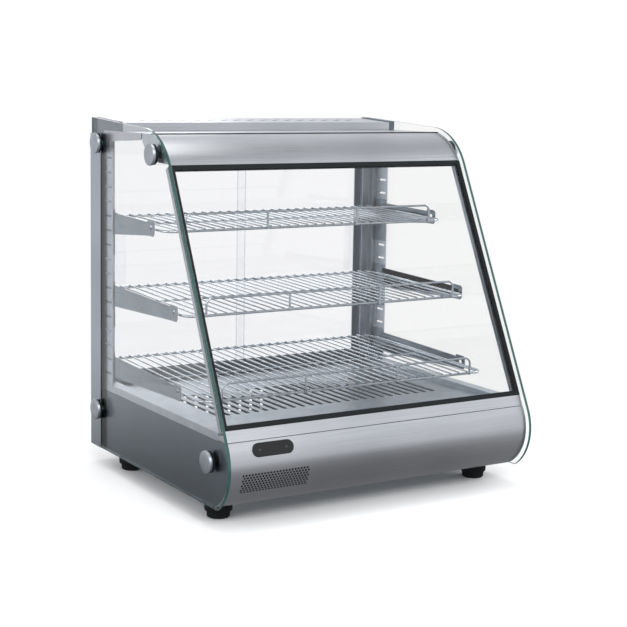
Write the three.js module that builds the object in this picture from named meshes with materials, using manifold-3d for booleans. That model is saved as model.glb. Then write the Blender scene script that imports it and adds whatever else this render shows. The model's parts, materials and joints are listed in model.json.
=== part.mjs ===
// Counter-top hot food display case with three wire shelves and sliding rear doors.
// Millimetres. +X to the viewer's right, -Y towards the customer, +Z up.
// The origin is under the middle of the case, on the surface that it stands on.

import * as THREE from 'three';
import { mergeVertices } from 'three/addons/utils/BufferGeometryUtils.js';
import Module from 'manifold-3d';

const wasm = await Module();
wasm.setup();

// Outline of the case, seen from the side
const caseDepth = 568;
const caseHeight = 686;
const bodyWidth = 642;
const footHeight = 36;
const frontLean = THREE.MathUtils.degToRad(64.5);
const roofPitch = THREE.MathUtils.degToRad(3.3);
const noseRadius = 90;
const noseCentreHeight = 75;
const bendRadius = 120;
const bodyInset = 8;

// Stock and clearances
const gap = 0.3;
const sheet = 1.5;
const glassThickness = 6;
const paneThickness = 5;

// Base
const baseHeight = 132;
const trimHeight = 14;
const deckDrop = 10;
const deckWall = 21;
const deckSlotWidth = 9;
const deckSlotLength = 186;
const deckSlotPitch = 20;
const ledgeHeight = 21;
const ledgeReturn = 18;
const ledgeTabDrop = 4;
const ledgeToDeck = 2;
const deckSlotMargin = 55;
const deckSlotEndGap = 60;
const rearPanelSetback = 22;

// Rear frame and doors
const postDepth = 47;
const postThickness = 12;
const lipReach = 17;
const lipThickness = 2.5;
const coverThickness = 1.2;
const channelWidth = 29;
const postTopDrop = 31;
const standardTopDrop = 25;
const standardWidth = 40;
const standardThickness = 2;
const slotPitch = 28;
const slotHeight = 4;
const slotWidth = 30;
const firstSlotHeight = 22;
const doorThickness = 4;
const doorGap = 8;
const doorOverlap = 12;
const doorEntry = 13;
const trackBase = 2;
const trackLip = 11;
const trackRib = 2;
const handleLength = 110;
const handleWidth = 20;
const handleThickness = 4;

// Roof
const boxDepth = 106;
const capThickness = 13;
const trayDrop = 18;
const topBoxDrop = 2;
const canopyRise = 57;
const canopySetback = 22;
const lampRadius = 8;

// Front pane
const sealWidth = 9;
const sealDepth = 8;
const sealSideDepth = 17;
const paneSetback = 1.5;
const paneEngage = 5;

// Shelves, lowest first
const shelfHeadroom = 100;
const shelfBackGap = 7;
const shelfSlope = THREE.MathUtils.degToRad(1.8);
const shelfFrontClearance = [54, 48, 65];
const bracketSetback = [97, 52, 63];
const shelfSideGap = 9;
const ringRod = 5;
const ringCorner = 25;
const wireSize = 3;
const wirePitch = 20;
const wireSideGap = 14;
const wireSink = 0.4;
const midRod = 4;
const fenceRod = 4;
const fenceCorner = 12;
const fenceHeight = 30;
const fenceSideGap = 37;
const fencePostOffset = 100;
const armRise = 8;
const armDepthRear = 41;
const armDepthFront = 25;
const hookPlate = { drop: 75, rise: 14, ahead: 2, rearGap: 3, floorGap: 5 };
const clip = { length: 28, rise: 4, chamfer: 5, depth: 20, hole: 5, holeDrop: 9, backHole: 3 };
const ledgeWidth = 9;

// Fittings
const knobBehindPost = 8;
const knobBelowTop = 49;
const knobAboveNose = 2;
const canopyKnobAhead = 49;
const canopyKnobRise = 74;
const noseKnobAhead = 28;
const noseKnobRise = 5;
const knobRadius = 20;
const knobCap = 6;
const knobWasher = 6;
const studRadius = 4;
const studDepth = 9;
const footRadius = 25;
const footInsetX = 39;
const footInsetFront = 116;
const footInsetRear = 94;

// Derived places
const bodyHalf = bodyWidth / 2;
const steelHalf = bodyHalf - gap;
const glassOuter = bodyHalf + glassThickness;
const coverInner = glassOuter + gap;
const coverOuter = coverInner + coverThickness;
const yRear = caseDepth / 2;
const baseTop = footHeight + baseHeight;
const deckTop = baseTop - deckDrop;
const postFront = yRear - postDepth;
const postInner = bodyHalf - postThickness;
const lipInner = postInner - lipReach;
const postTop = caseHeight - postTopDrop;
const channelFront = yRear - lipThickness - channelWidth;
const trimBottom = baseTop - trimHeight;
const panelTop = trimBottom + sheet;

// Outline geometry: outward normals of the sloping front and of the roof
const noseY = -caseDepth / 2 + noseRadius;
const noseZ = footHeight + noseCentreHeight;
const slantAlong = new THREE.Vector2(Math.cos(frontLean), Math.sin(frontLean));
const slantOut = new THREE.Vector2(-Math.sin(frontLean), Math.cos(frontLean));
const roofAlong = new THREE.Vector2(Math.cos(roofPitch), Math.sin(roofPitch));
const roofOut = new THREE.Vector2(-Math.sin(roofPitch), Math.cos(roofPitch));
const slantAngle = Math.PI / 2 - frontLean;
const roofAngle = Math.PI / 2 - roofPitch;

// A point on the sloping front at a height, a distance inside the outline.
function slantPoint(z, inset) {
  const start = new THREE.Vector2(noseY, noseZ).addScaledVector(slantOut, noseRadius - inset);
  return start.addScaledVector(slantAlong, (z - start.y) / slantAlong.y);
}

// A point on the roof line at a depth, a distance inside the outline.
function roofPoint(y, inset) {
  const start = new THREE.Vector2(yRear, caseHeight).addScaledVector(roofOut, -inset);
  return start.addScaledVector(roofAlong, (y - start.x) / roofAlong.x);
}

// The centre of the bend lies on both lines moved in by the bend's radius.
function bendCentre() {
  const slant = slantPoint(caseHeight, bendRadius);
  const roof = roofPoint(slant.x, bendRadius);
  const fall = (slant.y - roof.y) / (slantAlong.y - roofAlong.y / roofAlong.x * slantAlong.x);
  return slant.addScaledVector(slantAlong, -fall);
}

// Points on an arc of the outline: angles rise from straight ahead.
function arcPoints(centre, radius, from, to, steps) {
  const points = [];
  for (let i = 0; i <= steps; i += 1) {
    const angle = from + (to - from) * i / steps;
    points.push(new THREE.Vector2(
      centre.x - radius * Math.cos(angle),
      centre.y + radius * Math.sin(angle),
    ));
  }
  return points;
}

function nosePoints(inset, fromHeight, steps = 10) {
  const radius = noseRadius - inset;
  const from = Math.asin((fromHeight - noseZ) / radius);
  return arcPoints(new THREE.Vector2(noseY, noseZ), radius, from, slantAngle, steps);
}

function bendPoints(inset, from = slantAngle, to = roofAngle, steps = 12) {
  return arcPoints(bendCentre(), bendRadius - inset, from, to, steps);
}

// Solids

function toSolid(geometry) {
  const plain = geometry.clone();
  plain.deleteAttribute('normal');
  plain.deleteAttribute('uv');
  const merged = mergeVertices(plain, 1e-4);
  return new wasm.Manifold(new wasm.Mesh({
    numProp: 3,
    vertProperties: new Float32Array(merged.attributes.position.array),
    triVerts: new Uint32Array(merged.index.array),
  }));
}

function toGeometry(solid) {
  const mesh = solid.getMesh();
  const geometry = new THREE.BufferGeometry();
  geometry.setAttribute('position', new THREE.BufferAttribute(mesh.vertProperties, 3));
  geometry.setIndex(new THREE.BufferAttribute(mesh.triVerts, 1));
  return geometry;
}

function join(pieces) {
  let solid = toSolid(pieces[0]);
  for (const piece of pieces.slice(1)) {
    solid = solid.add(toSolid(piece));
  }
  return toGeometry(solid);
}

function cut(blank, tools) {
  let solid = toSolid(blank);
  for (const tool of tools) {
    solid = solid.subtract(toSolid(tool));
  }
  return toGeometry(solid);
}

function box(x, y, z) {
  const geometry = new THREE.BoxGeometry(x[1] - x[0], y[1] - y[0], z[1] - z[0]);
  return geometry.translate((x[0] + x[1]) / 2, (y[0] + y[1]) / 2, (z[0] + z[1]) / 2);
}

function points2(list) {
  return list.map(([a, b]) => new THREE.Vector2(a, b));
}

function outlineShape(points, holes) {
  const shape = new THREE.Shape(points);
  for (const hole of holes) {
    shape.holes.push(new THREE.Path(hole));
  }
  return shape;
}

function extrude(points, depth, holes) {
  return new THREE.ExtrudeGeometry(outlineShape(points, holes), { depth, bevelEnabled: false });
}

// An outline in Y and Z, extruded from one X to another.
function alongX(points, x, holes = []) {
  const basis = new THREE.Matrix4().makeBasis(
    new THREE.Vector3(0, 1, 0),
    new THREE.Vector3(0, 0, 1),
    new THREE.Vector3(1, 0, 0),
  );
  return extrude(points, x[1] - x[0], holes).applyMatrix4(basis).translate(x[0], 0, 0);
}

// An outline in X and Z, extruded from one Y to another.
function alongY(points, y, holes = []) {
  const basis = new THREE.Matrix4().makeBasis(
    new THREE.Vector3(1, 0, 0),
    new THREE.Vector3(0, 0, 1),
    new THREE.Vector3(0, -1, 0),
  );
  return extrude(points, y[1] - y[0], holes).applyMatrix4(basis).translate(0, y[1], 0);
}

// An outline in X and Y, extruded from one Z to another.
function alongZ(points, z, holes = []) {
  return extrude(points, z[1] - z[0], holes).translate(0, 0, z[0]);
}

function rectangle(a, b) {
  return points2([[a[0], b[0]], [a[1], b[0]], [a[1], b[1]], [a[0], b[1]]]);
}

function circle(centreA, centreB, radius, sides = 12) {
  const points = [];
  for (let i = 0; i < sides; i += 1) {
    const angle = 2 * Math.PI * (i + 0.5) / sides;
    points.push(new THREE.Vector2(
      centreA + radius * Math.cos(angle),
      centreB + radius * Math.sin(angle),
    ));
  }
  return points;
}

// A slot with round ends, its long axis along the outline's second direction.
function stadium(centreA, centreB, width, length, steps = 5) {
  const radius = width / 2;
  const reach = length / 2 - radius;
  const points = [];
  for (const [start, middle] of [[0, centreB + reach], [Math.PI, centreB - reach]]) {
    for (let i = 0; i <= steps; i += 1) {
      const angle = start + Math.PI * i / steps;
      points.push(new THREE.Vector2(
        centreA + radius * Math.cos(angle),
        middle + radius * Math.sin(angle),
      ));
    }
  }
  return points;
}

function roundedRectangle(a, b, radius, steps = 5) {
  const corners = [
    [a[1] - radius, b[1] - radius, 0],
    [a[0] + radius, b[1] - radius, Math.PI / 2],
    [a[0] + radius, b[0] + radius, Math.PI],
    [a[1] - radius, b[0] + radius, 3 * Math.PI / 2],
  ];
  return corners.flatMap(([centreA, centreB, start]) => {
    const points = [];
    for (let i = 0; i <= steps; i += 1) {
      const angle = start + Math.PI / 2 * i / steps;
      points.push(new THREE.Vector2(
        centreA + radius * Math.cos(angle),
        centreB + radius * Math.sin(angle),
      ));
    }
    return points;
  });
}

// A turned piece, its axis along Z from the profile's radius and height pairs.
function turned(profile, segments) {
  return new THREE.LatheGeometry(points2(profile), segments).rotateX(Math.PI / 2);
}

// The same face on either side of the case: side is -1 on the left and 1 on the right.
function span(side, inner, outer) {
  return side > 0 ? [inner, outer] : [-outer, -inner];
}

// Base

const knobPlaces = {
  rear_top: [postFront + knobBehindPost, caseHeight - knobBelowTop],
  rear_bottom: [postFront + knobBehindPost, noseZ + knobAboveNose],
  front_top: [bendCentre().x - canopyKnobAhead, bendCentre().y + canopyKnobRise],
  front_bottom: [noseY - noseKnobAhead, noseZ + noseKnobRise],
};

function knobHole(place, radius = studRadius + gap) {
  return circle(knobPlaces[place][0], knobPlaces[place][1], radius);
}

const plateSetback = { front: 4, rear: 2 };
const elementClip = { width: 12, length: 80 };

function bottomPlate() {
  const half = steelHalf - sheet - gap;
  const inner = lipInner - gap;
  const front = nosePoints(bodyInset + sheet, footHeight + gap)[0].x + plateSetback.front;
  const shoulder = postFront - gap;
  const rear = yRear - plateSetback.rear;
  const outline = points2([
    [-half, front], [half, front], [half, shoulder], [inner, shoulder],
    [inner, rear], [-inner, rear], [-inner, shoulder], [-half, shoulder],
  ]);
  const plate = alongZ(outline, [footHeight, footHeight + sheet]);
  const straps = [-1, 1].map((side) => box(
    span(side, elementStrap - elementClip.width / 2, elementStrap + elementClip.width / 2),
    [elementY - elementClip.length / 2, elementY + elementClip.length / 2],
    [footHeight + sheet / 2, elementZ - elementRadius - gap],
  ));
  return join([plate, ...straps]);
}

function baseSide(side) {
  const inset = bodyInset + sheet + gap;
  const outline = [
    ...points2([[postFront - gap, footHeight], [postFront - gap, trimBottom - gap]]),
    slantPoint(trimBottom - gap, inset),
    ...nosePoints(inset, footHeight).reverse(),
  ];
  return alongX(outline, span(side, steelHalf - sheet, steelHalf), [knobHole('front_bottom')]);
}

// The front panel curves round the nose and holds the display and the air intake.
const grille = {
  left: -steelHalf + 28.7,
  columns: 11,
  pitch: 12.6,
  rows: 4,
  rowPitch: 9.6,
  hole: 5,
  toolDepth: 8,
  firstAngle: -0.19,
};
const display = { x: -steelHalf + 87.7, z: trimBottom - 14, length: 82, height: 24.5, proud: 1, depth: 5 };

function surfaceFrame(x, centre, radius, angle) {
  const out = new THREE.Vector3(0, -Math.cos(angle), Math.sin(angle));
  const up = new THREE.Vector3(0, Math.sin(angle), Math.cos(angle));
  const matrix = new THREE.Matrix4().makeBasis(new THREE.Vector3(1, 0, 0), up, out);
  return matrix.setPosition(x, centre.x - radius * Math.cos(angle), centre.y + radius * Math.sin(angle));
}

function displayBlank(clearance) {
  const length = display.length + 2 * clearance;
  const height = display.height + 2 * clearance;
  const radius = noseRadius - bodyInset;
  const angle = Math.asin((display.z - noseZ) / radius);
  const frame = surfaceFrame(display.x, new THREE.Vector2(noseY, noseZ), radius + display.proud, angle);
  return extrude(stadium(0, 0, height, length, 6), display.depth, [])
    .rotateZ(Math.PI / 2).translate(0, 0, -display.depth).applyMatrix4(frame);
}

function grilleTools() {
  const tools = [];
  const centre = new THREE.Vector2(noseY, noseZ);
  for (let row = 0; row < grille.rows; row += 1) {
    const angle = grille.firstAngle - row * grille.rowPitch / (noseRadius - bodyInset);
    for (let column = 0; column < grille.columns; column += 1) {
      const x = grille.left + column * grille.pitch;
      const frame = surfaceFrame(x, centre, noseRadius - bodyInset, angle);
      tools.push(new THREE.BoxGeometry(grille.hole, grille.hole, grille.toolDepth).applyMatrix4(frame));
    }
  }
  return tools;
}

function frontPanel() {
  const outer = nosePoints(bodyInset, footHeight + gap, 12);
  const inner = nosePoints(bodyInset + sheet, footHeight + gap, 12);
  const edge = slantPoint(panelTop - gap, bodyInset);
  const outline = [
    ...outer,
    edge,
    edge.clone().addScaledVector(slantOut, -sheet),
    ...inner.reverse(),
  ];
  const blank = alongX(outline, [-steelHalf, steelHalf]);
  return cut(blank, [displayBlank(gap), ...grilleTools()]);
}

// Pieces on the sloping front: X, distance up the slope and height above the body's face.
const slantStart = panelTop + ledgeHeight * slantAlong.y;

function onSlant(geometry) {
  const start = slantPoint(slantStart, bodyInset);
  const matrix = new THREE.Matrix4().makeBasis(
    new THREE.Vector3(1, 0, 0),
    new THREE.Vector3(0, slantAlong.x, slantAlong.y),
    new THREE.Vector3(0, slantOut.x, slantOut.y),
  );
  return geometry.applyMatrix4(matrix.setPosition(0, start.x, start.y));
}

function frontLedge() {
  const face = box([-steelHalf, steelHalf], [-ledgeHeight, -gap], [-sheet, 0]);
  const top = box([-steelHalf, steelHalf], [-sheet - gap, -gap], [-ledgeReturn, -sheet / 2]);
  const foot = slantPoint(panelTop, bodyInset + sheet / 2);
  const head = slantPoint(baseTop, bodyInset + sheet / 2);
  const tab = [
    foot,
    ...points2([[deckFront - gap, panelTop], [deckFront - gap, baseTop - ledgeTabDrop]]),
    head,
  ];
  const tabs = [-1, 1].map((side) => alongX(tab, span(side, steelHalf - sheet, steelHalf)));
  return join([onSlant(face), onSlant(top), ...tabs]);
}

const deckFront = slantPoint(baseTop, bodyInset + ledgeReturn).x + ledgeToDeck;

function floorDeck() {
  const innerHalf = steelHalf - deckWall;
  const rear = postFront - gap;
  const slotLength = Math.min(deckSlotLength, rear - deckFront - 2 * deckSlotEndGap);
  const slots = [];
  const count = Math.floor(2 * (innerHalf - deckSlotMargin) / deckSlotPitch);
  for (let i = 0; i <= count; i += 1) {
    const x = (i - count / 2) * deckSlotPitch;
    slots.push(stadium(x, (deckFront + rear) / 2, deckSlotWidth, slotLength, 4));
  }
  const outline = rectangle([-innerHalf, innerHalf], [deckFront, rear]);
  const plate = alongZ(outline, [deckTop - sheet, deckTop], slots);
  const rails = [-1, 1].flatMap((side) => [
    box(span(side, innerHalf - sheet, innerHalf), [deckFront, rear], [deckTop - sheet, baseTop]),
    box(span(side, innerHalf - sheet, steelHalf), [deckFront, rear], [baseTop - sheet, baseTop]),
    box(span(side, steelHalf - sheet, steelHalf), [deckFront, rear], [trimBottom, baseTop]),
  ]);
  return join([plate, ...rails]);
}

// The control plate, the mains gland and what they pass through
const rearFace = yRear - rearPanelSetback;
const control = {
  x: lipInner - 92,
  z: footHeight + 68,
  width: 150,
  height: 50,
  plate: 3,
  depth: 12,
  rim: 5,
  corner: 6,
  wall: 2.5,
};
const rockerX = [-48, -16];
const rocker = {
  width: 14,
  radius: 10,
  opening: 22.5,
  side: 0.6,
  pinRadius: 1.2,
  pinLength: 1.4,
  pinDepth: 3,
};
const thermostat = { x: 38, radius: 15, length: 14, shaft: 3 };
const gland = { x: 62 - lipInner, z: footHeight + 38, radius: 11, bore: 4, wall: 3 };
const louvre = { count: 8, first: -130, pitch: 26, width: 7, length: 60, z: footHeight + 64 };

function rearPanel() {
  const half = lipInner - gap;
  const bottom = footHeight + sheet + gap;
  const holes = [
    rectangle(
      [control.x - control.width / 2 + control.rim, control.x + control.width / 2 - control.rim],
      [control.z - control.height / 2 + control.rim, control.z + control.height / 2 - control.rim],
    ),
    circle(gland.x, gland.z, gland.bore + gland.wall + gap, 16),
  ];
  for (let i = 0; i < louvre.count; i += 1) {
    holes.push(stadium(louvre.first + i * louvre.pitch, louvre.z, louvre.width, louvre.length, 3));
  }
  const wall = alongY(rectangle([-half, half], [bottom, baseTop]), [rearFace - sheet, rearFace], holes);
  const sill = box([-half, half], [postFront, yRear], [baseTop - sheet, baseTop]);
  return join([wall, sill]);
}

function controlPlate() {
  const width = control.width / 2;
  const height = control.height / 2;
  const front = alongY(
    roundedRectangle([-width, width], [-height, height], control.corner, 4),
    [gap, gap + control.plate],
  );
  const body = box(
    [rockerX[0] - rocker.width, rockerX[1] + rocker.width],
    [-control.depth, gap + control.plate / 2],
    [-rocker.opening / 2 - control.wall, rocker.opening / 2 + control.wall],
  );
  const openings = rockerX.map((x) => box(
    [x - rocker.width / 2 - rocker.side, x + rocker.width / 2 + rocker.side],
    [-control.depth - 5, control.plate + 5],
    [-rocker.opening / 2, rocker.opening / 2],
  ));
  const socketReach = rocker.width / 2 + rocker.side + rocker.pinLength + gap;
  const sockets = rockerX.map((x) => pinBar(x, socketReach, rocker.pinRadius + gap));
  const shaftHole = alongY(circle(thermostat.x, 0, thermostat.shaft + gap), [-5, control.plate + 5]);
  const plate = cut(join([front, body]), [...openings, ...sockets, shaftHole]);
  return plate.translate(control.x, rearFace, control.z);
}

function pinBar(x, reach, radius) {
  return alongX(circle(-rocker.pinDepth, 0, radius, 8), [x - reach, x + reach]);
}

// The key's face is two shallow slopes that meet at a waist; its back is round about the pin.
function rockerKey(x) {
  const backRadius = rocker.radius - 2;
  const points = [];
  for (let i = 0; i <= 6; i += 1) {
    const angle = Math.PI + (i / 6 - 0.5) * 2.2;
    points.push(new THREE.Vector2(
      -rocker.pinDepth + backRadius * Math.cos(angle),
      backRadius * Math.sin(angle),
    ));
  }
  points.push(new THREE.Vector2(0.5, -rocker.radius + 0.2));
  points.push(new THREE.Vector2(4.5, -rocker.radius + 1));
  points.push(new THREE.Vector2(2.5, 0));
  points.push(new THREE.Vector2(4.5, rocker.radius - 1));
  points.push(new THREE.Vector2(0.5, rocker.radius - 0.2));
  const key = alongX(points.reverse(), [x - rocker.width / 2, x + rocker.width / 2]);
  const pin = pinBar(x, rocker.width / 2 + rocker.side + rocker.pinLength, rocker.pinRadius);
  return join([key, pin]).translate(control.x, rearFace, control.z);
}

function thermostatKnob() {
  const base = control.plate + 2 * gap;
  const end = base + thermostat.length;
  const knob = turned([
    [0, -6], [thermostat.shaft, -6], [thermostat.shaft, base], [thermostat.radius, base],
    [thermostat.radius, base + 3], [thermostat.radius - 3, base + 4], [thermostat.radius - 4, end - 1],
    [thermostat.radius - 5, end], [0, end],
  ], 20);
  const grip = box([-2.5, 2.5], [-thermostat.radius + 1, thermostat.radius - 1], [base + 1, end + 1.5]);
  return join([knob, grip]).rotateX(-Math.PI / 2).translate(control.x + thermostat.x, rearFace, control.z);
}

function cableGland() {
  const body = turned([
    [gland.bore, -6], [gland.bore + gland.wall, -6], [gland.bore + gland.wall, gap], [gland.radius, gap],
    [gland.radius, 4], [gland.radius - 3, 6], [gland.bore + 2.5, 16], [gland.bore, 16], [gland.bore, -6],
  ], 16);
  return body.rotateX(-Math.PI / 2).translate(gland.x, rearFace, gland.z);
}

// A hairpin heating element lies under the slotted floor.
const elementRadius = 4;
const elementY = 0;
const elementZ = footHeight + 70;
const elementStrap = 150;
const elementSideGap = 90;

function heatingElement() {
  const reach = steelHalf - elementSideGap;
  const halfPitch = 30;
  const path = new THREE.CurvePath();
  const left = new THREE.Vector3(-reach, elementY - halfPitch, elementZ);
  const right = new THREE.Vector3(reach - halfPitch, elementY - halfPitch, elementZ);
  path.add(new THREE.LineCurve3(left, right));
  const bend = 4 / 3 * halfPitch;
  path.add(new THREE.CubicBezierCurve3(
    right,
    right.clone().add(new THREE.Vector3(bend, 0, 0)),
    right.clone().add(new THREE.Vector3(bend, halfPitch * 2, 0)),
    right.clone().add(new THREE.Vector3(0, halfPitch * 2, 0)),
  ));
  path.add(new THREE.LineCurve3(
    right.clone().add(new THREE.Vector3(0, halfPitch * 2, 0)),
    left.clone().add(new THREE.Vector3(0, halfPitch * 2, 0)),
  ));
  const section = new THREE.Shape(circle(0, 0, elementRadius, 8));
  return new THREE.ExtrudeGeometry(section, { steps: 20, extrudePath: path });
}

// Frame of the rear opening: each post holds the doors' channel inside the glass and
// folds round the glass's rear edge to cover it from outside.

function rearPost(side) {
  const lipFront = yRear - lipThickness;
  const channelBack = channelFront - lipThickness;
  const outline = points2([
    [coverOuter, postFront], [coverOuter, yRear], [lipInner, yRear], [lipInner, lipFront],
    [postInner, lipFront], [postInner, channelFront], [lipInner, channelFront],
    [lipInner, channelBack], [postInner, channelBack], [postInner, postFront],
    [steelHalf, postFront], [steelHalf, lipFront], [coverInner, lipFront], [coverInner, postFront],
  ]);
  const mirrored = side > 0 ? outline : outline.map((p) => new THREE.Vector2(-p.x, p.y)).reverse();
  const blank = alongZ(mirrored, [footHeight, postTop]);
  const bores = ['rear_top', 'rear_bottom'].map((place) => alongX(
    knobHole(place),
    span(side, steelHalf - studDepth - gap, coverOuter + gap),
  ));
  return cut(blank, bores);
}

const standardOuter = steelHalf - gap;
const standardTop = postTop - standardTopDrop;
const standardMid = postFront - standardWidth / 2;

function slotZ(index) {
  return baseTop + firstSlotHeight + index * slotPitch;
}

function shelfStandard(side) {
  const y = [postFront - standardWidth, postFront - gap];
  const holes = [];
  for (let index = 0; slotZ(index) < standardTop - slotHeight * 2; index += 1) {
    holes.push(rectangle(
      [standardMid - slotWidth / 2, standardMid + slotWidth / 2],
      [slotZ(index) - slotHeight / 2, slotZ(index) + slotHeight / 2],
    ));
  }
  const outline = rectangle(y, [baseTop + gap, standardTop]);
  return alongX(outline, span(side, standardOuter - standardThickness, standardOuter), holes);
}

// Sliding doors: the left one runs in the inner groove, the right one in the outer groove.
const doorInset = 3.5;
const doorLift = 3;
const doorY = [channelFront + doorInset, channelFront + doorInset + doorThickness + doorGap];
const doorBottom = baseTop + gap + trackBase + gap;
const doorTop = postTop - trackBase - doorLift;
const handle = { edgeGap: 9, corner: 5, rim: 5, floor: 1.5, endRim: 12 };

function doorPanel(index) {
  const outer = lipInner + doorEntry;
  const x = index === 0 ? [-outer, doorOverlap / 2] : [-doorOverlap / 2, outer];
  return box(x, [doorY[index], doorY[index] + doorThickness], [doorBottom, doorTop]);
}

function doorHandle(index) {
  const inner = lipInner - handle.edgeGap;
  const x = span(index === 0 ? -1 : 1, inner - handleWidth, inner);
  const face = doorY[index] + doorThickness + gap;
  const z = (doorBottom + doorTop) / 2;
  const outline = roundedRectangle(x, [z - handleLength / 2, z + handleLength / 2], handle.corner, 4);
  const blank = alongY(outline, [face, face + handleThickness]);
  const scoop = box(
    [x[0] + handle.rim, x[1] - handle.rim],
    [face + handle.floor, face + handleThickness + 1],
    [z - handleLength / 2 + handle.endRim, z + handleLength / 2 - handle.endRim],
  );
  return cut(blank, [scoop]);
}

function doorTrack(isTop) {
  const half = postInner - gap;
  const sign = isTop ? -1 : 1;
  const floor = isTop ? postTop - gap : baseTop + gap;
  const ribs = [
    doorY[0] - gap - trackRib,
    (doorY[0] + doorThickness + doorY[1]) / 2 - trackRib / 2,
    doorY[1] + doorThickness + gap,
  ];
  const heights = (from, to) => [floor + sign * from, floor + sign * to].sort((a, b) => a - b);
  const pieces = ribs.map((y) => box([-half, half], [y, y + trackRib], heights(trackBase / 2, trackLip)));
  const web = box([-half, half], [ribs[0], ribs[2] + trackRib], heights(0, trackBase));
  return join([web, ...pieces]);
}

// Roof

const boxFront = yRear - boxDepth;
const trayTop = roofPoint(boxFront, trayDrop).y;
const canopyRear = bendCentre().x - canopySetback;
const canopyBottom = bendCentre().y + canopyRise;
const header = { inset: 3, flange: 10 };

function rearHeader() {
  const y = [postFront + header.inset, yRear - header.inset];
  const half = steelHalf - capThickness - gap;
  const z = postTop + gap;
  const top = z + header.flange;
  const outline = points2([
    [y[0], z], [y[1], z], [y[1], top], [y[1] - sheet, top], [y[1] - sheet, z + sheet],
    [y[0] + sheet, z + sheet], [y[0] + sheet, top], [y[0], top],
  ]);
  return alongX(outline, [-half, half]);
}

// Vent slots lie askew along the middle of the box: skew is how far each end lies to its side.
const vent = { pitch: 30, width: 8, skew: 13, halfDepth: 9, endGap: 55, toolHeight: 25 };

function topBox() {
  const half = steelHalf - capThickness - gap;
  const rear = yRear - gap;
  const low = trayTop + gap;
  const outline = [
    ...points2([[boxFront, low]]),
    ...points2([[boxFront + sheet, low]]),
    roofPoint(boxFront + sheet, topBoxDrop + sheet),
    roofPoint(rear - sheet, topBoxDrop + sheet),
    ...points2([[rear - sheet, postTop + gap], [rear, postTop + gap]]),
    roofPoint(rear, topBoxDrop),
    roofPoint(boxFront, topBoxDrop),
  ];
  const blank = alongX(outline, [-half, half]);
  const slots = [];
  const count = Math.floor(2 * (half - vent.endGap) / vent.pitch);
  const front = -vent.skew - vent.width / 2;
  const outlineSlot = [
    [front, -vent.halfDepth], [front + vent.width, -vent.halfDepth],
    [-front, vent.halfDepth], [-front - vent.width, vent.halfDepth],
  ];
  for (let i = 0; i <= count; i += 1) {
    const slot = alongZ(points2(outlineSlot), [caseHeight - vent.toolHeight, caseHeight]);
    slots.push(slot.translate((i - count / 2) * vent.pitch, boxFront + boxDepth / 2, 0));
  }
  return cut(blank, slots);
}

function topCap(side) {
  const outline = [
    ...points2([[boxFront, trayTop + gap], [postFront, trayTop + gap]]),
    ...points2([[postFront, postTop + gap], [yRear, postTop + gap]]),
    roofPoint(yRear, 0),
    roofPoint(boxFront, 0),
  ];
  return alongX(outline, span(side, steelHalf - capThickness, steelHalf));
}

// The roof tray closes the case between the canopy and the top box.
const arm = { ahead: 43, width: 31, frontDepth: 13, rearDepth: 20 };
const trayLap = 2;

function roofTray() {
  const front = canopyRear + trayLap;
  const armFront = canopyRear + arm.ahead;
  const rear = postFront - gap;
  const half = steelHalf - sheet / 2;
  const plate = box([-half, half], [front, rear], [trayTop - sheet, trayTop]);
  const outline = points2([
    [armFront, trayTop], [rear, trayTop], [rear, standardTop + gap], [rear - arm.width, standardTop + gap],
    [rear - arm.width, trayTop - arm.rearDepth], [armFront, trayTop - arm.frontDepth],
  ]).reverse();
  const arms = [-1, 1].map((side) => alongX(outline, span(side, steelHalf - sheet, steelHalf)));
  const notch = [-1, 1].map((side) => box(
    span(side, steelHalf - sheet - gap, steelHalf + 1),
    [front - 1, armFront],
    [trayTop - 2 * sheet, trayTop + 1],
  ));
  return cut(join([plate, ...arms]), notch);
}

function canopyCurve(inset) {
  const centre = bendCentre();
  const radius = bendRadius - inset;
  const from = Math.asin((canopyBottom - centre.y) / radius);
  const to = Math.PI - Math.acos((canopyRear - centre.x) / radius);
  return arcPoints(centre, radius, from, to, 12);
}

const canopyEnd = { ahead: 37, topDrop: 1, depth: 15, foot: 3 };

function canopy() {
  const outer = canopyCurve(bodyInset);
  const inner = canopyCurve(bodyInset + sheet);
  const skin = alongX([...outer, ...inner.reverse()].reverse(), [-steelHalf, steelHalf]);
  const plate = [
    ...canopyCurve(bodyInset + sheet / 2),
    ...points2([
      [canopyRear + canopyEnd.ahead, trayTop - canopyEnd.topDrop],
      [canopyRear + canopyEnd.ahead, trayTop - canopyEnd.depth],
      [canopyRear + canopyEnd.foot, canopyBottom + canopyEnd.foot],
    ]),
  ].reverse();
  const ends = [-1, 1].map((side) => alongX(
    plate,
    span(side, steelHalf - sheet, steelHalf),
    [knobHole('front_top')],
  ));
  return join([skin, ...ends]);
}

// The lamp hangs under a folded reflector between the canopy's ends.
const lamp = { y: canopyRear - 16, z: canopyBottom + 20, holder: 20 };
const holderOuter = bodyHalf - studDepth - 1;
const lampHalf = holderOuter - lamp.holder;

function lampReflector() {
  const { y, z } = lamp;
  const half = steelHalf - sheet - gap;
  // A shade folded from thin sheet over the tube
  const fold = points2([
    [y - 29, z - 8], [y - 19, z + 13], [y + 18, z + 17], [y + 30, z - 6],
    [y + 29, z - 6.5], [y + 17.4, z + 16], [y - 18.4, z + 12], [y - 28, z - 8.5],
  ]).reverse();
  const shade = alongX(fold, [-half, half]);
  const holders = [-1, 1].map((side) => box(
    span(side, lampHalf + gap, holderOuter),
    [y - 10, y + 10],
    [z - 11, z + 15],
  ));
  return join([shade, ...holders]);
}

function lampTube() {
  return alongX(circle(lamp.y, lamp.z, lampRadius, 12), [-lampHalf, lampHalf]);
}

// Glass

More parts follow.
